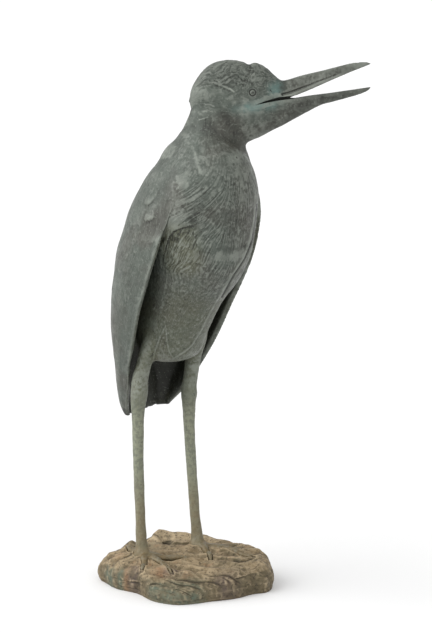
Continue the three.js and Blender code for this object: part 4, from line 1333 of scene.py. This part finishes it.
def mottle_group(name):
    """Cloudy patches in three colours."""
    inputs = {
        "Place": VECTOR, "Scale": 20.0, "Main": COLOUR, "Second": COLOUR, "Third": COLOUR, "Contrast": 0.12,
    }
    group, start, end = new_group(name, inputs, {"Color": COLOUR})
    wide = noise_texture(group, start["Place"], start["Scale"], 6.0, 0.62)
    fine = noise_texture(group, start["Place"], times(group, start["Scale"], 4.3), 5.0, 0.7)
    low = minus(group, 0.5, start["Contrast"])
    high = plus(group, 0.5, start["Contrast"])
    patchy = mix_colour(group, spread(group, wide, low, high), start["Main"], start["Second"])
    thin = times(group, spread(group, fine, low, high), 0.45)
    feed(group, mix_colour(group, thin, patchy, start["Third"]), end["Color"])
    return group


def wear_group(name):
    """Rubbed edges and dirt in hollows, from how far the surface stands out or in."""
    inputs = {
        "Color": COLOUR, "Rubbed": COLOUR, "Dirt": COLOUR, "Hollow": 0.0, "Wear": 0.5, "Grime": 0.5,
        "Place": VECTOR, "Depth": 0.0003,
    }
    group, start, end = new_group(name, inputs, {"Color": COLOUR, "Rubbed": NUMBER})
    raised = spread(group, times(group, start["Hollow"], -1.0), 0.0, start["Depth"])
    sunk = spread(group, start["Hollow"], 0.0, start["Depth"])
    patchy = spread(group, noise_texture(group, start["Place"], 60.0), 0.3, 0.7, 0.35, 1.0)
    worn = times(group, times(group, raised, start["Wear"]), patchy)
    dark = mix_colour(group, times(group, sunk, start["Grime"]), start["Color"], start["Dirt"])
    feed(group, mix_colour(group, worn, dark, start["Rubbed"]), end["Color"])
    feed(group, worn, end["Rubbed"])
    return group


def speck_group(name):
    """Small scattered spots of another colour."""
    inputs = {
        "Color": COLOUR, "Speck": COLOUR, "Place": VECTOR, "Scale": 300.0, "Amount": 0.3, "Strength": 0.7,
    }
    group, start, end = new_group(name, inputs, {"Color": COLOUR})
    value = noise_texture(group, start["Place"], start["Scale"], 2.0, 0.5)
    limit = minus(group, 0.78, times(group, start["Amount"], 0.3))
    mask = spread(group, value, limit, plus(group, limit, 0.06))
    strong = times(group, mask, start["Strength"])
    feed(group, mix_colour(group, strong, start["Color"], start["Speck"]), end["Color"])
    return group


def stroke_group(name):
    """Fine hair-like lines of feathers, from the ways along and across them."""
    inputs = {"Along": 0.0, "Across": 0.0, "Place": VECTOR, "Length": 0.03, "Width": 0.003, "Seed": 0.0}
    group, start, end = new_group(name, inputs, {"Height": NUMBER, "Groove": NUMBER, "Ridge": NUMBER})
    bend = minus(group, noise_texture(group, start["Place"], 70.0, 2.0), 0.5)
    across = plus(group, start["Across"], times(group, bend, 0.004))
    joined = add_node(group, "ShaderNodeCombineXYZ")
    feed(group, calculate(group, "DIVIDE", start["Along"], start["Length"]), joined.inputs[0])
    feed(group, calculate(group, "DIVIDE", across, start["Width"]), joined.inputs[1])
    feed(group, start["Seed"], joined.inputs[2])
    value = noise_texture(group, joined.outputs[0], 1.0, 2.0, 0.55)
    for label, low, high in (("Height", 0.36, 0.62), ("Groove", 0.43, 0.33), ("Ridge", 0.56, 0.66)):
        feed(group, spread(group, value, low, high), end[label])
    return group


def casting_group(name):
    """The sandy grain and small pits of a weathered casting, as a height."""
    group, start, end = new_group(name, {"Place": VECTOR, "Scale": 400.0, "Pits": 0.5}, {"Height": NUMBER})
    grain = noise_texture(group, start["Place"], start["Scale"], 4.0, 0.7)
    coarse = noise_texture(group, start["Place"], times(group, start["Scale"], 0.28), 3.0, 0.6)
    pits = times(group, spread(group, coarse, 0.60, 0.72), start["Pits"])
    feed(group, minus(group, grain, pits), end["Height"])
    return group


GROUP_MAKERS = {
    "Patina mottle": mottle_group, "Edge wear": wear_group, "Specks": speck_group,
    "Casting grain": casting_group, "Feather strokes": stroke_group,
}


def new_material(name, specular, metallic=0.0):
    """A material with a bare Principled shader; gives the material, its tree and the shader."""
    material = bpy.data.materials.new(name)
    material.use_nodes = True
    shader = material.node_tree.nodes["Principled BSDF"]
    shader.inputs["Specular IOR Level"].default_value = specular
    shader.inputs["Metallic"].default_value = metallic
    return material, material.node_tree, shader


def raise_surface(tree, shader, height, strength, distance):
    """Lets a height shape the light on the surface."""
    bump = add_node(tree, "ShaderNodeBump")
    for socket, source in (("Strength", strength), ("Distance", distance), ("Height", height)):
        feed(tree, source, bump.inputs[socket])
    feed(tree, bump.outputs["Normal"], shader.inputs["Normal"])


def bird_patina(colours):
    """Grey-green weathered bronze, with its browner, olive and turquoise parts, and painted shade and
    highlights.
    """
    material, tree, shader = new_material("bird_patina", 0.42, 0.12)
    place = add_node(tree, "ShaderNodeTexCoord").outputs["Object"]
    base = use_group(tree, "Patina mottle", Place=place, Scale=30.0, Main=colours.green,
                     Second=colours.grey, Third=colours.pale, Contrast=0.22)["Color"]
    patches = spread(tree, noise_texture(tree, place, 75.0), 0.30, 0.70)
    worn_thin = spread(tree, noise_texture(tree, place, 13.0, 3.0, 0.5), 0.46, 0.66, 0.0, 0.7)
    base = mix_colour(tree, worn_thin, base, colours.brown)
    mottles = spread(tree, noise_texture(tree, place, 190.0, 3.0, 0.6), 0.38, 0.60)
    # The shade zone lays brown on both as browner patina and as painted shade.
    for zone, paint_of_zone, strength in (
        ("shade", colours.brown, 0.8), ("thigh", colours.olive, 0.8), ("shin", colours.leg, 0.92),
        ("bill", colours.bill, 0.85), ("verdigris", colours.turquoise, 0.9), ("foot", colours.foot, 1.0),
    ):
        least, spots = (0.55, mottles) if zone == "shin" else (0.72, patches)
        uneven = spread(tree, spots, 0, 1, least * strength, strength)
        base = mix_colour(tree, times(tree, attribute(tree, zone), uneven), base, paint_of_zone)
    ways = {"Along": attribute(tree, "along"), "Across": attribute(tree, "across"), "Place": place}
    coarse = use_group(tree, "Feather strokes", **ways, Length=0.030, Width=0.0028, Seed=1.0)
    fine = use_group(tree, "Feather strokes", **ways, Length=0.016, Width=0.0018, Seed=7.0)
    strength = attribute(tree, "stroke")
    for line, share, paint_of_line in (("Groove", 0.34, colours.dark), ("Ridge", 0.46, colours.rubbed)):
        drawn = times(tree, larger(tree, coarse[line], fine[line]), strength)
        base = mix_colour(tree, times(tree, drawn, share), base, paint_of_line)
    worn = use_group(tree, "Edge wear", Color=base, Rubbed=colours.rubbed, Dirt=colours.dark, Wear=0.6,
                     Hollow=attribute(tree, "hollow"), Grime=0.8, Place=place, Depth=0.00020)
    # Pale lines and painted highlights: partly rubbed bronze, partly painted highlight.
    bright = mix_colour(tree, attribute(tree, "polish_and_highlight"), worn["Color"], colours.rubbed)
    # Painted shade in the dark colour, where the inner attribute says: under the wings, in grooves, on the
    # lower bill and jaw; also the eye's dark pupil and a darker crown.
    paint = mix_colour(tree, times(tree, attribute(tree, "inner"), 0.9), bright, colours.dark)
    for speck, scale, amount, share in (
        (colours.dark, 240.0, 0.4, 0.5), (colours.rubbed, 340.0, 0.55, 0.26),
    ):
        paint = use_group(tree, "Specks", Color=paint, Speck=speck, Place=place, Scale=scale,
                          Amount=amount, Strength=share)["Color"]
    feed(tree, paint, shader.inputs["Base Color"])
    rough = spread(tree, noise_texture(tree, place, 70.0), 0.3, 0.7, 0.38, 0.60)
    feed(tree, minus(tree, rough, times(tree, worn["Rubbed"], 0.10)), shader.inputs["Roughness"])
    grain = use_group(tree, "Casting grain", Place=place, Scale=420.0, Pits=0.4)["Height"]
    lines = times(tree, plus(tree, coarse["Height"], times(tree, fine["Height"], 0.5)), strength)
    raise_surface(tree, shader, plus(tree, times(tree, grain, 0.8), lines), 0.85, 0.0006)
    return material


def rock_patina(colours):
    """Tan-brown weathered bronze with green patches, orange-brown spots and dark specks, and painted shade
    in the hole on its top and under its ledge.
    """
    material, tree, shader = new_material("rock_patina", 0.3, 0.05)
    place = add_node(tree, "ShaderNodeTexCoord").outputs["Object"]
    base = use_group(tree, "Patina mottle", Place=place, Scale=22.0, Main=colours.tan,
                     Second=colours.earth, Third=colours.sand, Contrast=0.12)["Color"]
    flank = attribute(tree, "flank")
    green = spread(tree, noise_texture(tree, place, 17.0), 0.54, 0.66)
    base = mix_colour(tree, times(tree, green, spread(tree, flank, 0, 1, 0.25, 0.7)), base, colours.moss)
    orange = spread(tree, noise_texture(tree, place, 34.0), 0.56, 0.68, 0.0, 0.5)
    base = mix_colour(tree, orange, base, colours.orange)
    # Darker olive on the flanks, whose faces turn sideways, and painted shade below the ledge.
    base = mix_colour(tree, times(tree, flank, 0.68), base, colours.darker_olive)
    fine = spread(tree, noise_texture(tree, place, 120.0), 0.35, 0.65, 0.45, 1.0)
    for zone, stain in (("orange_stain", colours.orange), ("purple_stain", colours.purple),
                        ("green_stain", colours.teal), ("sand_stain", colours.sand)):
        base = mix_colour(tree, times(tree, attribute(tree, zone), fine), base, stain)
    # Painted shade in the hole on the rock's top.
    base = mix_colour(tree, attribute(tree, "painted_hole_shade"), base, colours.dark)
    ways = {"Along": attribute(tree, "along"), "Across": attribute(tree, "across"), "Place": place}
    lines = use_group(tree, "Feather strokes", **ways, Length=0.060, Width=0.0070, Seed=3.0)
    strength = attribute(tree, "stroke")
    for line, share, paint_of_line in (("Groove", 0.22, colours.dark), ("Ridge", 0.30, colours.sand)):
        base = mix_colour(tree, times(tree, times(tree, lines[line], strength), share), base, paint_of_line)
    worn = use_group(tree, "Edge wear", Color=base, Rubbed=colours.sand, Dirt=colours.dark, Wear=0.6,
                     Hollow=attribute(tree, "hollow"), Grime=0.6, Place=place, Depth=0.00036)["Color"]
    spots = use_group(tree, "Specks", Color=worn, Speck=colours.dark, Place=place, Scale=260.0,
                      Amount=0.6, Strength=0.65)["Color"]
    feed(tree, spots, shader.inputs["Base Color"])
    rough = spread(tree, noise_texture(tree, place, 90.0), 0.3, 0.7, 0.55, 0.80)
    feed(tree, rough, shader.inputs["Roughness"])
    grain = use_group(tree, "Casting grain", Place=place, Scale=380.0, Pits=0.8)["Height"]
    height = plus(tree, grain, times(tree, lines["Height"], strength))
    raise_surface(tree, shader, height, 0.7, 0.0009)
    return material


def plain_material(name, paint, roughness):
    material, tree, shader = new_material(name, 0.2)
    feed(tree, paint, shader.inputs["Base Color"])
    feed(tree, roughness, shader.inputs["Roughness"])
    return material


def finish_piece(piece, node, material):
    """Moves a piece from the bird's axes to the frame's and hands it to the frame."""
    set_points(piece.data, points_of(piece.data) + BIRD_OFFSET)
    piece.data.materials.clear()
    piece.data.materials.append(material)
    piece.data.shade_smooth()
    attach(piece, "root")
    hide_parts(node)


# Settings, operators and panel

# The floor's half width and how far it lies below the rock, in metres
FLOOR_REACH = 150.0
FLOOR_GAP = 0.0002
# Brightness of the surround where the camera sees it
BACKDROP = 1.2
# Width of the camera's sensor in millimetres, and how widely the lamps spread
SENSOR_WIDTH = 36.0
LAMP_WIDTH = math.radians(70)

def paint(label, note, value):
    return FloatVectorProperty(name=label, description=note, default=value,
                               subtype="COLOR", size=3, min=0, max=1)


def light_strength(label, note, value):
    return FloatProperty(name=label, description=note, default=value, min=0)


def light_direction(label, note, value):
    return FloatVectorProperty(name=label, description=note, default=value, subtype="DIRECTION")


class HeronSettings(bpy.types.PropertyGroup):
    """Sizes and colours of the bird."""
    voxel: FloatProperty(name="Fineness", description="Step of the joined surface before it is thinned",
                         default=0.0011, unit="LENGTH", min=0.0005, max=0.01, precision=5)
    triangles: IntProperty(name="Triangles", description="Most triangles that the bird keeps",
                           default=192000, min=1000)
    green: paint("Green", "Main colour of the patina", (0.058, 0.0715, 0.0575))
    grey: paint("Grey", "Second colour of the patina", (0.042, 0.050, 0.040))
    pale: paint("Pale", "Thin pale film on the patina", (0.090, 0.103, 0.087))
    # Brown also paints shade on the breast's right side, the throat and beside the left wing.
    brown: paint("Brown", "Where the green has worn thin", (0.045, 0.042, 0.033))
    olive: paint("Olive", "Yellower patina on flanks and thighs", (0.092, 0.095, 0.057))
    leg: paint("Leg", "Patina of the legs", (0.205, 0.215, 0.150))
    bill: paint("Bill", "Patina of the bill", (0.023, 0.022, 0.016))
    turquoise: paint("Turquoise", "Bluer patina at the base of the bill", (0.108, 0.188, 0.172))
    foot: paint("Foot", "Brown of the feet and toes", (0.150, 0.108, 0.050))
    # Rubbed also paints the highlights and light: the eye's glint, two coverts, the flank panel and the
    # pale lines.
    rubbed: paint("Rubbed", "Bare look of rubbed edges", (0.240, 0.260, 0.225))
    # Dark also paints the shade under the wings, in grooves, on the tail's lowest edge, the lower bill and
    # the jaw.
    dark: paint("Dark", "Dirt in the hollows", (0.012, 0.013, 0.009))


class RockSettings(bpy.types.PropertyGroup):
    """Colours of the rock."""
    tan: paint("Tan", "Main colour of the rock", (0.195, 0.142, 0.076))
    earth: paint("Earth", "Second colour of the rock", (0.115, 0.088, 0.048))
    # Darker on the rock's sideways-facing flanks; below the ledge this colour is painted shade.
    darker_olive: paint("Damp", "Darker olive of the rock's flanks", (0.066, 0.055, 0.029))
    sand: paint("Sand", "Pale rubbed edges", (0.46, 0.365, 0.235))
    moss: paint("Moss", "Green patches", (0.095, 0.102, 0.070))
    orange: paint("Orange", "Orange-brown spots", (0.270, 0.155, 0.080))
    purple: paint("Purple", "Purple-brown stains", (0.085, 0.062, 0.050))
    teal: paint("Teal", "Blue-green stains", (0.088, 0.112, 0.080))
    # Dark also paints the shade in the hole on the rock's top.
    dark: paint("Dark", "Dirt in the hollows", (0.032, 0.025, 0.017))


class StudioSettings(bpy.types.PropertyGroup):
    """Camera, floor and lamps."""
    eye: FloatVectorProperty(name="Eye", description="Place of the camera", subtype="XYZ", unit="LENGTH",
                             default=(-2.0389, -2.4243, 0.950))
    aim: FloatVectorProperty(name="Aim", description="Point that the camera looks at", subtype="XYZ",
                             unit="LENGTH", default=(0.018, 0.027, 0.430))
    lens: FloatProperty(name="Lens", description="Focal length of the camera in millimetres",
                        default=118.0, min=10)
    shift: FloatVectorProperty(name="Shift", description="Sideways and upward shift of the picture", size=2,
                               default=(0.0506, -0.0047))
    floor: paint("Floor", "Colour of the floor", (0.81, 0.81, 0.81))
    sky: light_strength("Sky", "Strength of the light from all round", 0.80)
    key: light_strength("Key", "Strength of the soft light from the left", 2.5)
    fill: light_strength("Fill", "Strength of the soft light from the front", 0.65)
    from_left: light_direction("From left", "Where the light from the left comes from", (-0.88, 0.47, 0.64))
    from_front: light_direction("From front", "Where the light from the front comes from",
                                (-0.35, -0.9, 0.70))


class SCULPTURE_OT_heron(bpy.types.Operator):
    """Builds the bird with its feathers and patina"""
    bl_idname = "sculpture.heron"
    bl_label = "Heron"

    def execute(self, context):
        settings = context.scene.heron_settings
        voxel = settings.voxel
        bird = bird_mesh(voxel, settings.triangles)
        for name, values in bird_zones(bird.data).items():
            store(bird.data, name, values)
        finish_piece(bird, "heron", bird_patina(settings))
        bird.name = "heron_cast"
        return {"FINISHED"}


class SCULPTURE_OT_rock(bpy.types.Operator):
    """Builds the rock that the bird stands on"""
    bl_idname = "sculpture.rock"
    bl_label = "Rock"

    def execute(self, context):
        rock = rock_mesh()
        for name, values in rock_zones(rock.data).items():
            store(rock.data, name, values)
        finish_piece(rock, "rock_base", rock_patina(context.scene.rock_settings))
        rock.name = "rock_cast"
        return {"FINISHED"}


class SCULPTURE_OT_studio(bpy.types.Operator):
    """Sets the floor, the lamps and the camera"""
    bl_idname = "sculpture.studio"
    bl_label = "Studio"

    def execute(self, context):
        settings = context.scene.studio_settings
        scene = context.scene
        scene.view_settings.view_transform = "Standard"
        world = bpy.data.worlds.new("studio")
        world.use_nodes = True
        tree = world.node_tree
        seen = add_node(tree, "ShaderNodeLightPath").outputs["Is Camera Ray"]
        background = tree.nodes["Background"]
        background.inputs["Color"].default_value = (1, 1, 1, 1)
        feed(tree, spread(tree, seen, 0, 1, settings.sky, BACKDROP), background.inputs["Strength"])
        scene.world = world
        level = CAD_LOW.z - FLOOR_GAP
        around = ((-1, -1), (1, -1), (1, 1), (-1, 1))
        corners = [(x * FLOOR_REACH, y * FLOOR_REACH, level) for x, y in around]
        mesh = bpy.data.meshes.new("floor")
        mesh.from_pydata(corners, [], [(0, 1, 2, 3)])
        mesh.materials.append(plain_material("floor_paper", settings.floor, 0.8))
        floor = bpy.data.objects.new("floor", mesh)
        scene.collection.objects.link(floor)
        aim = Vector(settings.aim)
        self.lamp(scene, "key", Vector(settings.from_left), settings.key)
        self.lamp(scene, "fill", Vector(settings.from_front), settings.fill)
        lens = bpy.data.cameras.new("camera")
        lens.lens = settings.lens
        lens.sensor_width = SENSOR_WIDTH
        lens.shift_x, lens.shift_y = settings.shift
        camera = bpy.data.objects.new("camera", lens)
        camera.location = settings.eye
        camera.rotation_mode = "QUATERNION"
        camera.rotation_quaternion = (aim - Vector(settings.eye)).to_track_quat("-Z", "Y")
        scene.collection.objects.link(camera)
        scene.camera = camera
        return {"FINISHED"}

    def lamp(self, scene, name, direction, strength):
        """A wide soft light that comes from a direction."""
        light = bpy.data.lights.new(name, "SUN")
        light.angle = LAMP_WIDTH
        light.energy = strength
        lamp = bpy.data.objects.new(name, light)
        lamp.rotation_mode = "QUATERNION"
        lamp.rotation_quaternion = direction.to_track_quat("Z", "Y")
        scene.collection.objects.link(lamp)


class SCULPTURE_PT_panel(bpy.types.Panel):
    """Lists what the add-on builds"""
    bl_label = "Garden heron"
    bl_idname = "SCULPTURE_PT_panel"
    bl_space_type = "VIEW_3D"
    bl_region_type = "UI"
    bl_category = "Garden heron"

    def draw(self, context):
        for kind in OPERATORS:
            self.layout.operator(kind.bl_idname)


SETTINGS = {
    "heron_settings": HeronSettings, "rock_settings": RockSettings, "studio_settings": StudioSettings,
}
OPERATORS = (SCULPTURE_OT_studio, SCULPTURE_OT_rock, SCULPTURE_OT_heron)


def register():
    for kind in (*SETTINGS.values(), *OPERATORS, SCULPTURE_PT_panel):
        bpy.utils.register_class(kind)
    for name, kind in SETTINGS.items():
        setattr(bpy.types.Scene, name, PointerProperty(type=kind))


def unregister():
    for name in SETTINGS:
        delattr(bpy.types.Scene, name)
    for kind in reversed((*SETTINGS.values(), *OPERATORS, SCULPTURE_PT_panel)):
        bpy.utils.unregister_class(kind)


def main():
    register()
    bpy.ops.sculpture.studio()
    bpy.ops.sculpture.rock()
    bpy.ops.sculpture.heron()


if __name__ == "__main__":
    main()
